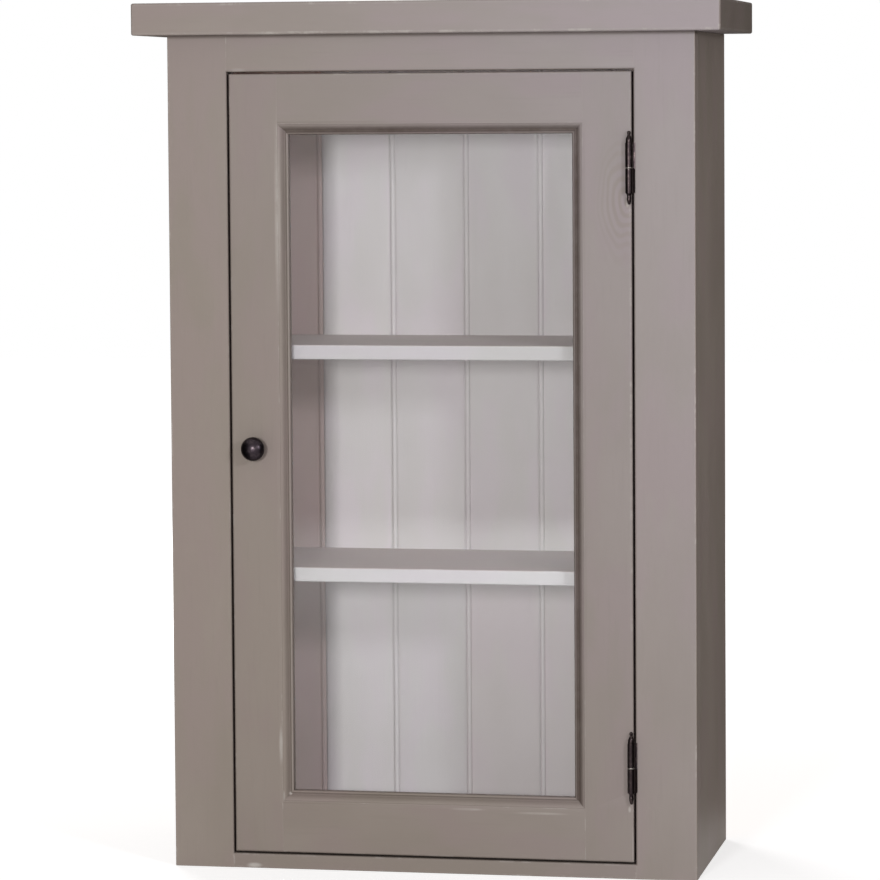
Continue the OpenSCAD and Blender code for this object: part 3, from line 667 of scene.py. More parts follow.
def worn(recipe, piece, rgb, paint, seed, pale, gap):
    """A pale tone on the worn parts of the edges, and painted shade in the moulding's hollows and round
    the door.

    The places listed for the piece are pale as well, some rubbed wear and some painted highlights,
    whole near their point and not at all at their reach.
    """
    shift = (seed * 2.1, seed * 4.3, seed * 6.7)
    patches = recipe.noise((38, 38, 38), shift, 4.0, 0.7)
    level = recipe.reach(recipe.plus(patches, paint.wear - 0.5), 0.5, 0.62, 0.2, 1.0)
    rubbed = recipe.math("MULTIPLY", recipe.mark("arris"), level, clamp=True)
    rgb = recipe.mix(recipe.times(rubbed, 0.5), rgb, pale)
    # Painted shade: from the moulding's mark, and round the door
    shade_share = recipe.times(recipe.mark("grime"), recipe.reach(patches, 0.3, 0.7, 0.8, 1.0))
    if gap:
        shade_share = recipe.math("MAXIMUM", shade_share, gap_and_overhang_shade(recipe))
    rgb = recipe.mix(shade_share, rgb, paint.grime)
    # Rubbed wear, and painted highlights on the left stile, the left moulding and the back boards' beads
    for point, scale, reach, strength in PALE_WEAR_AND_HIGHLIGHTS.get(piece, ()):
        near = recipe.reach(recipe.distance(point, scale), 0.25 * reach, reach, strength, 0.0)
        rgb = recipe.mix(recipe.times(near, recipe.reach(patches, 0.3, 0.6, 0.5, 1.0)), rgb, pale)
    return rgb


def painted(context, piece, grain, tone=1.0, drifts=True, two_tone=False, room=None, back=False,
            gap=False, tones=()):
    """Painted wood: body paint, room paint, or both where the room behind the door begins.

    tone makes the body paint lighter or darker, and unless drifts is False it turns towards a lighter,
    cooler copy at the upper right, a painted sheen. room is the colour of a piece that stands in the
    room. back leaves the far side of a board bare, and gap adds painted shade in and beside the gap
    round the door and a painted shadow under the top board. Each of the tones is an axis, the places along
    it where another colour begins and is whole, and that colour. Round a knot the growth rings are
    sin(distance·2π / spacing), fading out at the knot's reach.
    """
    scene = context.scene
    paint = scene.cupboard_paint
    seed = SEEDS[piece]
    recipe = Recipe(f"paint_{piece}")
    marks = wood_marks(recipe, grain, seed)
    rgb = brushed(recipe, room or toned(paint.body_colour, tone), marks)
    # Painted sheen: the body paint turns lighter and cooler towards the upper right
    if drifts and not room:
        rgb = recipe.mix(sheen_drift(recipe), rgb, brushed(recipe, toned(paint.sheen_colour, tone), marks))
    for axis, begins, whole, other in tones:
        part = recipe.reach(recipe.axis(axis), begins, whole)
        rgb = recipe.mix(part, rgb, brushed(recipe, other, marks))
    if two_tone:
        rgb = recipe.mix(in_room(recipe), rgb, brushed(recipe, paint.room_colour, marks))
    relief = recipe.plus(recipe.times(marks["streaks"], 1.2), recipe.times(marks["rings"], 0.09))
    for point, reach, spacing in KNOTS.get(piece, ()):
        wander = recipe.times(recipe.math("SUBTRACT", marks["tints"], 0.5), 5 * spacing)
        distance = recipe.plus(recipe.distance(point, (1, 0, 0.5)), wander)
        swirl = recipe.math("SINE", recipe.times(distance, 2 * math.pi / spacing))
        near = recipe.reach(distance, 0.2 * reach, reach, 0.8, 0.0)
        rings = recipe.times(recipe.reach(swirl, -0.8, 1.0), near)
        relief = recipe.plus(relief, rings)
        rgb = recipe.mix(recipe.times(rings, 0.6), rgb, toned(paint.body_colour, 0.86))
    rgb = worn(recipe, piece, rgb, paint, seed, toned(room, 1.16) if room else paint.undercoat, gap)
    if back:
        bare_side = recipe.math("GREATER_THAN", recipe.axis("Y"), BACK_PAINT_Y)
        rgb = recipe.mix(bare_side, rgb, bare(recipe, scene.cupboard_wood, marks, seed))
    rough = recipe.reach(marks["clouds"], 0.3, 0.7, paint.roughness - 0.04, paint.roughness + 0.05)
    gloss = paint.room_gloss if room else paint.gloss
    return recipe.done(recipe.surface(Base_Color=rgb, Roughness=rough, Specular_IOR_Level=gloss,
                                      Normal=recipe.bump(relief, paint.relief)))


def coated(context, node, skin, grain, slot="taupe_paint", sharp=SHARP, **looks):
    """A painted piece that stands for a packed node, with the looks that painted() takes."""
    finished(node, [skin], painted(context, node, grain, **looks), slot, sharp)


def bare_wood(context, name, grain):
    """Bare softwood, as sawn and planed."""
    wood = context.scene.cupboard_wood
    seed = SEEDS[name]
    recipe = Recipe(name)
    marks = wood_marks(recipe, grain, seed)
    relief = recipe.plus(marks["streaks"], recipe.times(marks["rings"], 0.15))
    rough = recipe.reach(marks["streaks"], 0.3, 0.7, wood.roughness - 0.08, wood.roughness + 0.1)
    return recipe.done(recipe.surface(Base_Color=bare(recipe, wood, marks, seed), Roughness=rough,
                                      Normal=recipe.bump(relief, 0.0003)))


def metal(name, rgb, rubbed, roughness):
    """Metal with a patchy tone, rubbed in places, over a fine grit."""
    recipe = Recipe(name)
    patches = recipe.noise((160, 160, 160), detail=4.0, roughness=0.65)
    grit = recipe.noise((900, 900, 900), detail=3.0)
    shade = recipe.mix(recipe.reach(patches, 0.45, 0.8), rgb, rubbed)
    rough = recipe.reach(patches, 0.3, 0.7, roughness + 0.04, roughness - 0.03)
    return recipe.done(recipe.surface(Base_Color=shade, Metallic=1.0, Roughness=rough,
                                      Normal=recipe.bump(grit, 0.00004)))


def plastic(context):
    """Moulded plastic of the catch, faintly mottled."""
    rgb = context.scene.cupboard_metal.plastic
    recipe = Recipe("catch_plastic")
    fine = recipe.noise((700, 700, 700), detail=3.0)
    slow = recipe.noise((60, 60, 60))
    shade = recipe.mix(recipe.reach(slow, 0.3, 0.7), toned(rgb, 0.95), rgb)
    return recipe.done(recipe.surface(Base_Color=shade, Roughness=recipe.reach(slow, 0.3, 0.7, 0.38, 0.5),
                                      Normal=recipe.bump(fine, 0.00003)))


def window_glass():
    """Clear drawn glass with a faint ripple, which lets lamps and soft light through."""
    recipe = Recipe("window_glass")
    ripple = recipe.noise((11, 11, 4), detail=1.0)
    smear = recipe.reach(recipe.noise((60, 60, 3), (0.4, 0, 0)), 0.4, 0.75, 0.0, 0.025)
    glass = recipe.surface(Base_Color=(0.985, 0.99, 0.988), Roughness=smear, IOR=1.45,
                           Transmission_Weight=1.0, Normal=recipe.bump(ripple, 0.00025))
    clear = recipe.add("BsdfTransparent", {"Color": (0.96, 0.965, 0.962)})
    return recipe.done(recipe.either(recipe.rays("Shadow", "Diffuse"), glass, clear))


# Sections of the boards


def rectangle(low, high):
    """Four corners of a rectangle, round from its lowest one."""
    return np.array([(low[0], low[1]), (high[0], low[1]), (high[0], high[1]), (low[0], high[1])])


def plain_board(node, setbacks, end_ease, shape):
    """Skin of a rectangular board that lies along X and fills its node's box."""
    low, high = box(node)
    corners = rectangle(low[1:], high[1:])
    sections = [(x, corners, np.asarray(setbacks)) for x in (low[0], high[0])]
    return sawn(sections, "X", end_ease, shape)


def edge_corners(x, inwards, front, back, slot, leaf, shape):
    """Corners down one edge of a stile, from front to back.

    slot is the depth of the mortise there and leaf the depth let in for a hinge leaf.
    """
    middle = (FACE_Y + FRAME_BACK_Y) / 2
    half = shape.tenon_t / 2 + shape.tenon_clear
    outer = x + inwards * leaf
    deep = x + inwards * max(slot, leaf)
    turn = FACE_Y + LEAF_W
    return [(outer, front), (outer, middle - half), (deep, middle - half), (deep, middle + half),
            (outer, middle + half), (outer, turn), (x, turn), (x, back)]


def stile(node, way, shape, state, breaks):
    """Skin of an upright stile, from what state(z) says of each place along it.

    way is 1 where the stile's outer edge lies towards +X, and -1 where it lies towards -X. state
    gives the depths of the margin, the mortise, the inner leaf and the outer leaf, and the ease of
    the inner arris. Where it jumps, the stile has two sections at one place.
    """
    low, high = box(node)
    inner, outer = (low[0], high[0]) if way > 0 else (high[0], low[0])

    def section(z, facts):
        margin, slot, leaf_in, leaf_out, ease = facts
        inside = edge_corners(inner, way, low[1] + margin, high[1], slot, leaf_in, shape)
        outside = edge_corners(outer, -way, low[1], high[1], 0.0, leaf_out, shape)
        crease = (inner + way * shape.margin_w, low[1])
        none = [0.0] * 6
        setbacks = [ease, *none, HIDDEN_EASE, HIDDEN_EASE, *none, shape.frame_ease, CREASE_EASE]
        return z, np.array(inside + outside[::-1] + [crease]), np.array(setbacks)

    sections = [section(low[2], state(low[2] + TINY))]
    for z in sorted(breaks):
        before, after = state(z - TINY), state(z + TINY)
        sections.append(section(z, before))
        if not np.allclose(before, after, atol=1e-6):
            sections.append(section(z, after))
    sections.append(section(high[2], state(high[2] - TINY)))
    return sawn(sections, "Z", HIDDEN_EASE, shape)


def within(z, spans):
    """True where z lies in one of the spans."""
    return any(start < z < end for start, end in spans)


def mortise_span(node, shape):
    """Heights between which a rail's tenon is let into the stiles."""
    low, high = box(node)
    gap = shape.tenon_shoulder - shape.tenon_clear
    return low[2] + gap, high[2] - gap


def face_stile(context, node, way):
    """Face stile: eased along the opening, tight where the rail joins, let in for the leaves."""
    shape = context.scene.cupboard_shape
    low, high = box(node)
    depth = box("face_rail_top")[1][0] - OPEN_HALF + shape.tenon_clear
    mortise = mortise_span("face_rail_top", shape)
    leaves = LEAF_SPANS if way > 0 else []

    def state(z):
        ease = shape.frame_ease if ROOM_FLOOR < z < OPEN_TOP else shape.joint_ease
        return 0.0, depth * within(z, [mortise]), LEAF_T * within(z, leaves), 0.0, ease

    breaks = [ROOM_FLOOR, OPEN_TOP, *mortise, *(z for span in leaves for z in span)]
    skin = stile(node, way, shape, state, breaks)
    rgb = tuple(context.scene.cupboard_paint.body_colour)
    flank = on_face("X", float(high[0] if way > 0 else low[0]), way, FLANK_SKIN, rgb)
    coated(context, node, skin, "Z", two_tone=True, gap=True, tones=[flank])


def door_stile(context, node, way):
    """Door stile with a sanded margin beside the moulding and mortises for both rails."""
    shape = context.scene.cupboard_shape
    depth = box("door_rail_top")[1][0] - PANEL_HALF + shape.tenon_clear
    mortises = [mortise_span("door_rail_bottom", shape), mortise_span("door_rail_top", shape)]
    leaves = LEAF_SPANS if way > 0 else []
    ramp = [PANEL_LOW - shape.margin_w, PANEL_LOW, PANEL_HIGH, PANEL_HIGH + shape.margin_w]

    def state(z):
        margin = float(np.interp(z, ramp, [0.0, shape.margin_d, shape.margin_d, 0.0]))
        return margin, depth * within(z, mortises), 0.0, LEAF_T * within(z, leaves), shape.joint_ease

    breaks = [*ramp, *(z for span in [*mortises, *leaves] for z in span)]
    skin = stile(node, way, shape, state, breaks)
    coated(context, node, skin, "Z", tone=context.scene.cupboard_paint.door_tone, gap=True)


def rail(context, node, half, margin_edge, setbacks, **looks):
    """Rail with a tenon at each end.

    margin_edge is -1 or 1 where its lower or its upper edge has the sanded margin and 0 where neither
    has, and half is half of the rail's length between the stiles.
    """
    shape = context.scene.cupboard_shape
    low, high = box(node)
    middle = (low[1] + high[1]) / 2
    front, back = middle - shape.tenon_t / 2, middle + shape.tenon_t / 2
    front_low = low[1] + (shape.margin_d if margin_edge < 0 else 0.0)
    front_high = low[1] + (shape.margin_d if margin_edge > 0 else 0.0)
    crease = low[2] + shape.margin_w if margin_edge <= 0 else high[2] - shape.margin_w
    full = np.array([(front_low, low[2]), (low[1], crease), (front_high, high[2]),
                     (high[1], high[2]), (high[1], low[2])])
    under, over = low[2] + shape.tenon_shoulder, high[2] - shape.tenon_shoulder
    tenon = np.array([(front, under), (front, (under + over) / 2), (front, over), (back, over),
                      (back, under)])
    tight = shape.joint_ease
    drawn = np.clip(full, full.min(0) + tight, full.max(0) - tight)
    eases = np.asarray(setbacks)
    tenon_eases = np.full(5, 0.0004)
    half_run = [(-half, tenon, tenon_eases), (-half, drawn, eases), (-half + tight, full, eases)]
    other_half = [(-place, corners, ease) for place, corners, ease in half_run[::-1]]
    ends = [(x, tenon, tenon_eases) for x in (low[0], high[0])]
    skin = sawn([ends[0], *half_run, *other_half, ends[1]], "X", HIDDEN_EASE, shape)
    coated(context, node, skin, "X", gap=True, **looks)


def carcass_side(context, node, way):
    """Side of the cupboard, with housings for the bottom and the shelves and a rebate for the back."""
    rebate_ease, back_ease, end_ease = 0.0006, 0.0014, 0.0008
    shape = context.scene.cupboard_shape
    low, high = box(node)
    inner, outer = way * ROOM_HALF, way * max(abs(low[0]), abs(high[0]))
    rebate = way * box("hanging_rail")[1][0]
    housed = way * box("shelf_lower")[1][0]
    spans = [(low[2], ROOM_FLOOR, low[1])]
    for shelf in ("shelf_lower", "shelf_upper"):
        lowest, highest = box(shelf)
        spans.append((lowest[2], highest[2], lowest[1]))

    def section(z, z_near):
        inside = [span for span in spans if span[0] < z_near < span[1]]
        slot = housed if inside else inner
        start = inside[0][2] if inside else low[1]
        corners = [(inner, low[1]), (inner, start), (slot, start), (slot, BOARDS_Y), (rebate, BOARDS_Y),
                   (rebate, high[1]), (outer, high[1]), (outer, low[1])]
        setbacks = [shape.joint_ease, 0, 0, 0, 0, rebate_ease, back_ease, shape.joint_ease]
        return z, np.array(corners), np.array(setbacks, float)

    sections = [section(low[2], low[2] + TINY)]
    for z in sorted(z for span in spans for z in span[:2] if z > low[2]):
        sections += [section(z, z - TINY), section(z, z + TINY)]
    sections.append(section(high[2], high[2] - TINY))
    skin = sawn(sections, "Z", end_ease, shape)
    coated(context, node, skin, "Z", drifts=False, two_tone=True)


def bottom_board(context):
    """Floor of the cupboard: wide behind the frame, with a lip that fills the gap between the stiles."""
    end_ease = 0.0009
    shape = context.scene.cupboard_shape
    low, high = box("bottom_board")
    corners = np.array([(-OPEN_HALF, low[1]), (OPEN_HALF, low[1]), (OPEN_HALF, FRAME_BACK_Y),
                        (high[0], FRAME_BACK_Y), (high[0], high[1]), (low[0], high[1]),
                        (low[0], FRAME_BACK_Y), (-OPEN_HALF, FRAME_BACK_Y)])
    setbacks = np.full(8, shape.joint_ease)
    skin = sawn([(z, corners, setbacks) for z in (low[2], high[2])], "Z", end_ease, shape)
    coated(context, "bottom_board", skin, "X", "cream_paint", tone=0.93, two_tone=True, gap=True)


def shaded_edge(context):
    """Browner tone of the room paint on the first board and the bead beside it: the warm colour of the
    shade that the left stile casts there, painted in.
    """
    edge = float(box(BACK_BOARDS[1])[0][0]) + BEAD_END
    rgb = toned(context.scene.cupboard_paint.room_colour, 1.0, (1.0, 0.83, 0.77))
    return "X", edge + 0.001, edge, rgb


def back_board(context, number):
    """Paint of a back board: the second is painted lighter, as if better lit, and the last three are
    warmer near the foot.
    """
    # Painted light: the second board is lighter
    lighter = 1.08 if number == 2 else 1.0
    warm_from, warm_whole = 0.31, 0.26
    rgb = toned(context.scene.cupboard_paint.room_colour, lighter)
    tones = [shaded_edge(context)]
    if number > 3:
        tones.append(("Z", warm_from, warm_whole, toned(rgb, 0.985, (1.0, 0.965, 0.96))))
    node = BACK_BOARDS[number - 1]
    dress(painted(context, node, "Z", room=rgb, back=True, tones=tones), node)


def joint_paint(context):
    """Paint that has run into the joints of the back: a slim fillet in each, set a little back."""
    overlap, back, end_gap, end_ease = 0.00002, 0.004, 0.0005, 0.0001
    paint = context.scene.cupboard_paint
    fillets = []
    for board in BACK_BOARDS[:-1]:
        first = box(board)[1][0]
        corners = rectangle((first - overlap, BOARDS_Y + paint.joint_depth),
                            (first + JOINT_W + overlap, BOARDS_Y + back))
        sections = [(z, corners, np.zeros(4)) for z in (ROOM_FLOOR + end_gap, ROOM_TOP - end_gap)]
        fillets.append(sawn(sections, "Z", end_ease, context.scene.cupboard_shape))
    rgb = tuple(paint.room_colour)
    return fillets, painted(context, "joints", "Z", room=rgb, tones=[shaded_edge(context)])


# Moulding round the glass


def mould_profile():
    """Section of the moulding, from the door frame to the sight edge, and how much painted shade lies on
    each part of it, most in the hollow.

    A smooth curve through points across and deep, as shares of the width and of the depth to the
    glass: a broad soft ovolo, a hollow, a low bead and an edge that ends square on the glass.
    """
    face = spline([(0.0, 0.08), (0.045, 0.055), (0.11, 0.06), (0.22, 0.12), (0.34, 0.25), (0.45, 0.43),
                   (0.54, 0.58), (0.61, 0.64), (0.68, 0.63), (0.74, 0.56), (0.80, 0.48), (0.87, 0.46),
                   (0.93, 0.52), (0.98, 0.66), (1.0, 0.74)], 4)
    shares = np.concatenate([[(0.0, 1.0)], face, [(1.0, 1.0)]])
    shade_share = np.interp(shares[:, 0], [0.0, 0.1, 0.3, 0.5, 0.58, 0.7, 0.8, 0.92, 1.0],
                     [0.5, 0.35, 0.64, 0.88, 1.0, 1.0, 0.7, 0.62, 0.95])
    return shares * (MOULD_HIGH[0] - MOULD_LOW[0], MOULD_HIGH[1] - FACE_Y), shade_share


def moulding(context, node, start, across, run):
    """One length of moulding, cut to a mitre at both ends.

    The point at (a, d) of the profile, at s from -1 to 1 along the run, lies a across from start,
    d deep and s(half - a) along, so that each end lies in the plane of its mitre.
    """
    profile, shade_share = mould_profile()
    half = (PANEL_HIGH - PANEL_LOW) / 2 if run[2] else PANEL_HALF
    hairline = 0.00006
    s = np.linspace(-1, 1, 9)[:, None]
    a, d = profile[None, :, 0], profile[None, :, 1]
    along_run = s * (half - a - hairline)
    rings = (np.asarray(start) + a[..., None] * np.asarray(across)
             + along_run[..., None] * np.asarray(run) + d[..., None] * np.array((0.0, 1.0, 0.0)))
    grime = np.broadcast_to(np.clip(shade_share - 1 + MOULDING_SHADE[node], 0, 1), rings.shape[:2])
    coated(context, node, skinned(rings, grime=grime), AXES[run.index(1)], sharp=math.radians(50),
           tone=context.scene.cupboard_paint.door_tone)


# Turned pieces


def hinge_turned(profile, z, way=1):
    """Skin of a piece turned about the axis of the hinges, with its foot or its middle at z."""
    x, y, _ = (PIN_LOW + PIN_HIGH) / 2
    return turned(profile, (x, y, z), "Z", 40, way)


def finial_skin(end_z, way):
    """Turned finial, in shares of the barrel's radius and its length.

    The upper ones are a swelling with a small ball on top, the lower ones a slimmer drop.
    """
    tall = box("hinge_finials_door")[1][2] - LEAF_SPANS[1][1]
    ball = [(0.0, 0.0), (0.7, 0.0), (0.84, 0.01), (0.86, 0.1), (0.84, 0.28), (0.72, 0.42), (0.5, 0.54),
            (0.38, 0.63), (0.40, 0.72), (0.46, 0.82), (0.40, 0.92), (0.2, 0.985), (0.0, 1.0)]
    drop = [(0.0, 0.0), (0.7, 0.0), (0.84, 0.01), (0.8, 0.06), (0.58, 0.16), (0.54, 0.3), (0.6, 0.45),
            (0.58, 0.6), (0.48, 0.74), (0.4, 0.86), (0.24, 0.96), (0.1, 0.995), (0.0, 1.0)]
    shares = np.maximum(spline(ball if way > 0 else drop, 4), 0)
    return hinge_turned(shares * (BARREL_R, tall), end_z, way)


def washer_skin(z):
    """Washer between two knuckles: a ring with a rounded rim."""
    clearance = 0.00005
    half = (WASHER_HIGH[2] - WASHER_LOW[2] - (LEAF_SPANS[1][0] - LEAF_SPANS[0][0])) / 2
    bore = (PIN_HIGH[0] - PIN_LOW[0]) / 2 + clearance
    t = np.linspace(-math.pi / 2, math.pi / 2, 9)
    bulge = 0.7 * half
    rounded = np.stack([BARREL_R - bulge + bulge * np.cos(t), half * np.sin(t)], axis=1)
    return hinge_turned(np.concatenate([[(bore, -half)], rounded, [(bore, half), (bore, -half)]]), z)


def knob_skin():
    """Turned knob: a foot, a waisted neck and a domed head, in shares of its radius and its length."""
    low, high = box("knob")
    centre = ((low[0] + high[0]) / 2, FACE_Y, (low[2] + high[2]) / 2)
    shares = spline([(0.0, 0.0), (0.5, 0.0), (0.6, 0.005), (0.6, 0.06), (0.5, 0.13), (0.42, 0.2),
                     (0.41, 0.29), (0.47, 0.38), (0.68, 0.445), (0.92, 0.51), (0.995, 0.585),
                     (0.97, 0.7), (0.84, 0.82), (0.62, 0.91), (0.34, 0.975), (0.12, 0.997),
                     (0.0, 1.0)], 6)
    size = ((high[0] - low[0]) / 2, FACE_Y - low[1])
    return turned(np.clip(shares, 0, 1) * size, centre, "Y", 96, -1)


# Operators, one for each piece or group of like pieces


class CUPBOARD_OT_top_board(bpy.types.Operator):
    """Thick top board with softly eased edges"""

    bl_idname = "cupboard.top_board"
    bl_label = "Top board"

    def execute(self, context):
        shape = context.scene.cupboard_shape
        skin = plain_board("top_board", (shape.top_ease,) * 4, shape.top_ease, shape)
        end = float(box("top_board")[1][0])
        soaked = toned(context.scene.cupboard_paint.body_colour, 0.73)
        tones = [on_face("X", way * end, way, END_SKIN, soaked) for way in (-1, 1)]
        coated(context, "top_board", skin, "X", two_tone=True, tones=tones)
        return {"FINISHED"}


class CUPBOARD_OT_carcass(bpy.types.Operator):
    """Sides, bottom board and shelves"""

    bl_idname = "cupboard.carcass"
    bl_label = "Carcass"

    def execute(self, context):
        shape = context.scene.cupboard_shape
        carcass_side(context, "side_left", -1)
        carcass_side(context, "side_right", 1)
        bottom_board(context)
        rgb = tuple(context.scene.cupboard_paint.shelf_colour)
        # Painted light and shade on the shelves' tops: the lower one darker and browner, the upper one
        # lighter
        painted_top_light = {"shelf_lower": toned(rgb, 0.83, (1.0, 0.85, 0.8)),
                 "shelf_upper": toned(rgb, 1.14, (1.0, 0.94, 0.9))}
        setbacks = (shape.board_ease, shape.joint_ease, shape.joint_ease, shape.board_ease)
        for node, top_light in painted_top_light.items():
            skin = plain_board(node, setbacks, HIDDEN_EASE, shape)
            tones = [on_face("Z", float(box(node)[1][2]), 1, TOP_LIGHT_SKIN, top_light)]
            coated(context, node, skin, "X", "cream_paint", room=rgb, tones=tones)
        return {"FINISHED"}


class CUPBOARD_OT_face_frame(bpy.types.Operator):
    """Two stiles and a rail round the door"""

    bl_idname = "cupboard.face_frame"
    bl_label = "Face frame"

    def execute(self, context):
        shape = context.scene.cupboard_shape
        face_stile(context, "face_stile_left", -1)
        face_stile(context, "face_stile_right", 1)
        setbacks = (shape.frame_ease, 0.0, shape.joint_ease, shape.joint_ease, HIDDEN_EASE)
        rail(context, "face_rail_top", OPEN_HALF, 0, setbacks, two_tone=True)
        return {"FINISHED"}


class CUPBOARD_OT_back(bpy.types.Operator):
    """Beaded back boards, and the rails and cleats that hold them"""

    bl_idname = "cupboard.back"
    bl_label = "Back"

    def execute(self, context):
        for number in range(1, len(BACK_BOARDS) + 1):
            back_board(context, number)
        fillets, paint = joint_paint(context)
        filled = built("joint_paint", fillets, paint)
        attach(filled, body_of(BACK_BOARDS[0]))
        dress(bare_wood(context, "bare_rails", "X"), "hanging_rail", "lower_back_rail", "top_cleat_back")
        dress(bare_wood(context, "bare_cleats", "Y"), "top_cleat_left", "top_cleat_right")
        return {"FINISHED"}


class CUPBOARD_OT_door_frame(bpy.types.Operator):
    """Stiles and rails of the door"""

    bl_idname = "cupboard.door_frame"
    bl_label = "Door frame"

    def execute(self, context):
        shape = context.scene.cupboard_shape
        tone = context.scene.cupboard_paint.door_tone
        tight, ease = shape.joint_ease, shape.frame_ease
        top = (tight, CREASE_EASE, ease, HIDDEN_EASE, tight)
        bottom = (ease, CREASE_EASE, tight, tight, HIDDEN_EASE)
        door_stile(context, "door_stile_left", -1)
        door_stile(context, "door_stile_right", 1)
        rail(context, "door_rail_top", PANEL_HALF, -1, top, tone=tone)
        rail(context, "door_rail_bottom", PANEL_HALF, 1, bottom, tone=tone)
        return {"FINISHED"}


class CUPBOARD_OT_mouldings(bpy.types.Operator):
    """Four mitred lengths of moulding round the glass"""

    bl_idname = "cupboard.mouldings"
    bl_label = "Mouldings"

    def execute(self, context):
        middle = (PANEL_LOW + PANEL_HIGH) / 2
        up, right = (0, 0, 1), (1, 0, 0)
        moulding(context, "moulding_left", (-PANEL_HALF, FACE_Y, middle), right, up)
        moulding(context, "moulding_right", (PANEL_HALF, FACE_Y, middle), (-1, 0, 0), up)
        moulding(context, "moulding_top", (0, FACE_Y, PANEL_HIGH), (0, 0, -1), right)
        moulding(context, "moulding_bottom", (0, FACE_Y, PANEL_LOW), up, right)
        return {"FINISHED"}


class CUPBOARD_OT_glazing(bpy.types.Operator):
    """Pane of glass, with the beads that hold it"""

    bl_idname = "cupboard.glazing"
    bl_label = "Glazing"

    def execute(self, context):
        dress(window_glass(), "glass_pane")
        upright = painted(context, "upright_beads", "Z")
        level = painted(context, "level_beads", "X")
        dress(upright, "glazing_bead_left", "glazing_bead_right")
        dress(level, "glazing_bead_top", "glazing_bead_bottom")
        return {"FINISHED"}


class CUPBOARD_OT_hinges(bpy.types.Operator):
    """Two bronze hinges with finials"""

    bl_idname = "cupboard.hinges"
    bl_label = "Hinges"

    def execute(self, context):
        metals = context.scene.cupboard_metal
        bronze = metal("hinge_bronze", metals.bronze, metals.bronze_worn, metals.bronze_roughness)
        brass = metal("washer_brass", metals.brass, toned(metals.brass, 1.2), 0.35)
        drops = [finial_skin(start, -1) for start, end in LEAF_SPANS]
        balls = [finial_skin(end, 1) for start, end in LEAF_SPANS]
        washers = [washer_skin((start + end) / 2) for start, end in LEAF_SPANS]
        finished("hinge_finials_frame", drops, bronze, "bronze")
        finished("hinge_finials_door", balls, bronze, "bronze")
        finished("hinge_washers", washers, brass, "brass")
        dress(bronze, "hinge_frame_leaf_upper", "hinge_frame_leaf_lower", "hinge_door_leaf_upper",
              "hinge_door_leaf_lower", "hinge_screws_frame", "hinge_screws_door")
        return {"FINISHED"}


class CUPBOARD_OT_knob(bpy.types.Operator):
    """Turned bronze knob"""

    bl_idname = "cupboard.knob"
    bl_label = "Knob"

    def execute(self, context):
        metals = context.scene.cupboard_metal
        # Lighter, bluer bronze than the hinges': a painted reflection of cool light on the knob's middle
        cooler = (0.96, 1.0, 1.12)
        bronze = metal("knob_bronze", toned(metals.bronze, 1.3, cooler),
                       toned(metals.bronze_worn, 1.15, cooler), metals.bronze_roughness)
        finished("knob", [knob_skin()], bronze, "bronze")
        return {"FINISHED"}


class CUPBOARD_OT_fixings(bpy.types.Operator):
    """Screws, pins, magnetic catch and its strike plate"""

    bl_idname = "cupboard.fixings"
    bl_label = "Screws and catch"

    def execute(self, context):
        metals = context.scene.cupboard_metal
        steel = metal("steel", metals.steel, toned(metals.steel, 1.15), 0.32)
        dress(steel, "top_screws", "cleat_screws", "rail_screws", "hinge_pins", "catch_magnet",
              "catch_screws", "glazing_pins", "knob_screw", "strike_plate", "strike_screws")
        dress(plastic(context), "catch_case")
        return {"FINISHED"}


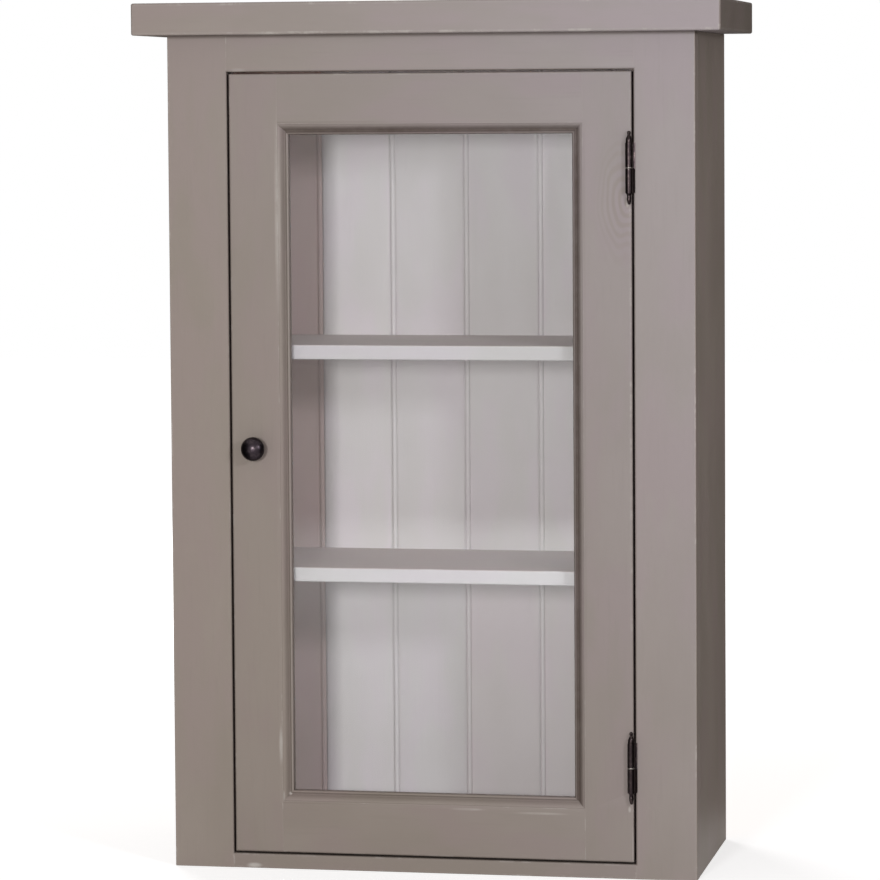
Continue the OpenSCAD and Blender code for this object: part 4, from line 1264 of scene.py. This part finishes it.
class CUPBOARD_OT_stage(bpy.types.Operator):
    """Camera, lamps, pale floor and white backdrop"""

    bl_idname = "cupboard.stage"
    bl_label = "Stage"

    def execute(self, context):
        stage = context.scene.cupboard_stage
        context.scene.view_settings.view_transform = "Standard"
        self.camera(context, stage)
        for name in ("key", "fill", "back"):
            self.lamp(stage, name)
        self.flag(stage)
        self.floor(stage)
        self.backdrop(context, stage)
        return {"FINISHED"}

    def camera(self, context, stage):
        """Camera at the place, yaw, pitch and roll that the stage names."""
        data = bpy.data.cameras.new("camera")
        data.lens = stage.lens
        data.shift_y = stage.shift_y
        data.clip_end = 100.0
        camera = linked("camera", data)
        turn = Matrix.Rotation(stage.yaw, 4, "Z") @ Matrix.Rotation(math.pi / 2 - stage.pitch, 4, "X")
        camera.matrix_world = (Matrix.Translation(stage.camera_place) @ turn
                               @ Matrix.Rotation(-stage.roll, 4, "Z"))
        context.scene.camera = camera

    def lamp(self, stage, name):
        """Rectangular lamp, turned towards the middle of the cupboard's front."""
        data = bpy.data.lights.new(name, "AREA")
        data.shape = "RECTANGLE"
        data.energy = getattr(stage, f"{name}_power")
        data.size, data.size_y = getattr(stage, f"{name}_size")
        data.color = getattr(stage, f"{name}_colour")
        lamp = linked(name, data)
        lamp.location = getattr(stage, f"{name}_place")
        middle = (box("top_board")[1] + box("side_left")[0]) / 2
        facing = Vector((0.0, FACE_Y, middle[2])) - lamp.location
        lamp.rotation_euler = facing.to_track_quat("-Z", "Y").to_euler()

    def flag(self, stage):
        """Dark mat and card round the sides and the back, which show only in gloss and in metal.

        At q from half the gap to a whole turn less half the gap, a point of radius r and height z
        stands at r·sin q, -r·cos q, z.
        """
        near, level, top = 0.4, 0.003, 2.4
        half = stage.flag_gap / 2
        q = np.linspace(half, 2 * math.pi - half, 49)[:, None]
        r = np.array([[near, stage.flag_radius, stage.flag_radius]])
        z = np.array([[level, level, top]])
        recipe = Recipe("flag")
        rgb = recipe.mix(recipe.noise((40, 40, 40)), (0.02, 0.02, 0.02), (0.03, 0.03, 0.03))
        cloth = recipe.done(recipe.add("BsdfDiffuse", {"Color": rgb}))
        flag = sheet("flag", np.stack([r * np.sin(q), -r * np.cos(q), z + 0 * q], axis=-1), cloth)
        for hidden in ("visible_camera", "visible_diffuse", "visible_transmission", "visible_shadow"):
            setattr(flag, hidden, False)

    def floor(self, stage):
        """Level floor, u and v from -1 to 1 carried to half its side, that keeps the cupboard's shadow.

        It adds some white of its own where it is looked at, less of it near the cupboard.
        """
        near, far = 0.5, 2.5
        u, v = np.meshgrid(np.linspace(-1, 1, 9), np.linspace(-1, 1, 9), indexing="ij")
        recipe = Recipe("floor")
        rgb = recipe.mix(recipe.noise((2, 2, 2)), toned(stage.floor_colour, 0.98), stage.floor_colour)
        diffuse = recipe.add("BsdfDiffuse", {"Color": rgb})
        strength = recipe.reach(recipe.distance((0, 0, 0)), near, far, stage.floor_glow, stage.far_glow)
        glow = recipe.add("Emission", {"Strength": strength})
        both = recipe.add("AddShader", {0: diffuse, 1: glow})
        pale = recipe.done(recipe.either(self.seen(recipe), diffuse, both))
        floor = sheet("floor", np.stack([u, v, 0 * u], axis=-1) * stage.floor_size / 2, pale)

    def seen(self, recipe):
        """1 for rays that show a surface to the camera, also in metal and glass."""
        return recipe.rays("Camera", "Glossy", "Transmission")

    def backdrop(self, context, stage):
        """World that is white where it is looked at, and soft light everywhere else."""
        recipe = Recipe("studio", "worlds")
        soft = recipe.add("Background", {"Color": stage.ambient_colour, "Strength": stage.ambient})
        white = recipe.add("Background", {"Color": (1.0, 1.0, 1.0), "Strength": 1.0})
        context.scene.world = recipe.done(recipe.either(self.seen(recipe), soft, white), "World")


OPERATORS = (
    CUPBOARD_OT_top_board,
    CUPBOARD_OT_carcass,
    CUPBOARD_OT_face_frame,
    CUPBOARD_OT_back,
    CUPBOARD_OT_door_frame,
    CUPBOARD_OT_mouldings,
    CUPBOARD_OT_glazing,
    CUPBOARD_OT_hinges,
    CUPBOARD_OT_knob,
    CUPBOARD_OT_fixings,
    CUPBOARD_OT_stage,
)


class CUPBOARD_PT_panel(bpy.types.Panel):
    """Lists the cupboard's pieces and settings"""

    bl_idname = "CUPBOARD_PT_panel"
    bl_label = "Kitchen cupboard"
    bl_space_type = "VIEW_3D"
    bl_region_type = "UI"
    bl_category = "Cupboard"

    def draw(self, context):
        for operator in OPERATORS:
            self.layout.operator(operator.bl_idname)
        for name, group in GROUPS.items():
            section = self.layout.box()
            section.label(text=group.__doc__)
            for setting in group.__annotations__:
                section.prop(getattr(context.scene, name), setting)


CLASSES = (*GROUPS.values(), *OPERATORS, CUPBOARD_PT_panel)


def register():
    """Registers the classes and hangs the settings on the scene."""
    for made in CLASSES:
        bpy.utils.register_class(made)
    for name, group in GROUPS.items():
        setattr(bpy.types.Scene, name, PointerProperty(type=group))


def unregister():
    """Takes the settings and the classes away again."""
    for name in GROUPS:
        delattr(bpy.types.Scene, name)
    for made in reversed(CLASSES):
        bpy.utils.unregister_class(made)


def main():
    """Builds the cupboard piece by piece."""
    register()
    for operator in OPERATORS:
        family, action = operator.bl_idname.split(".")
        getattr(getattr(bpy.ops, family), action)()


if __name__ == "__main__":
    main()
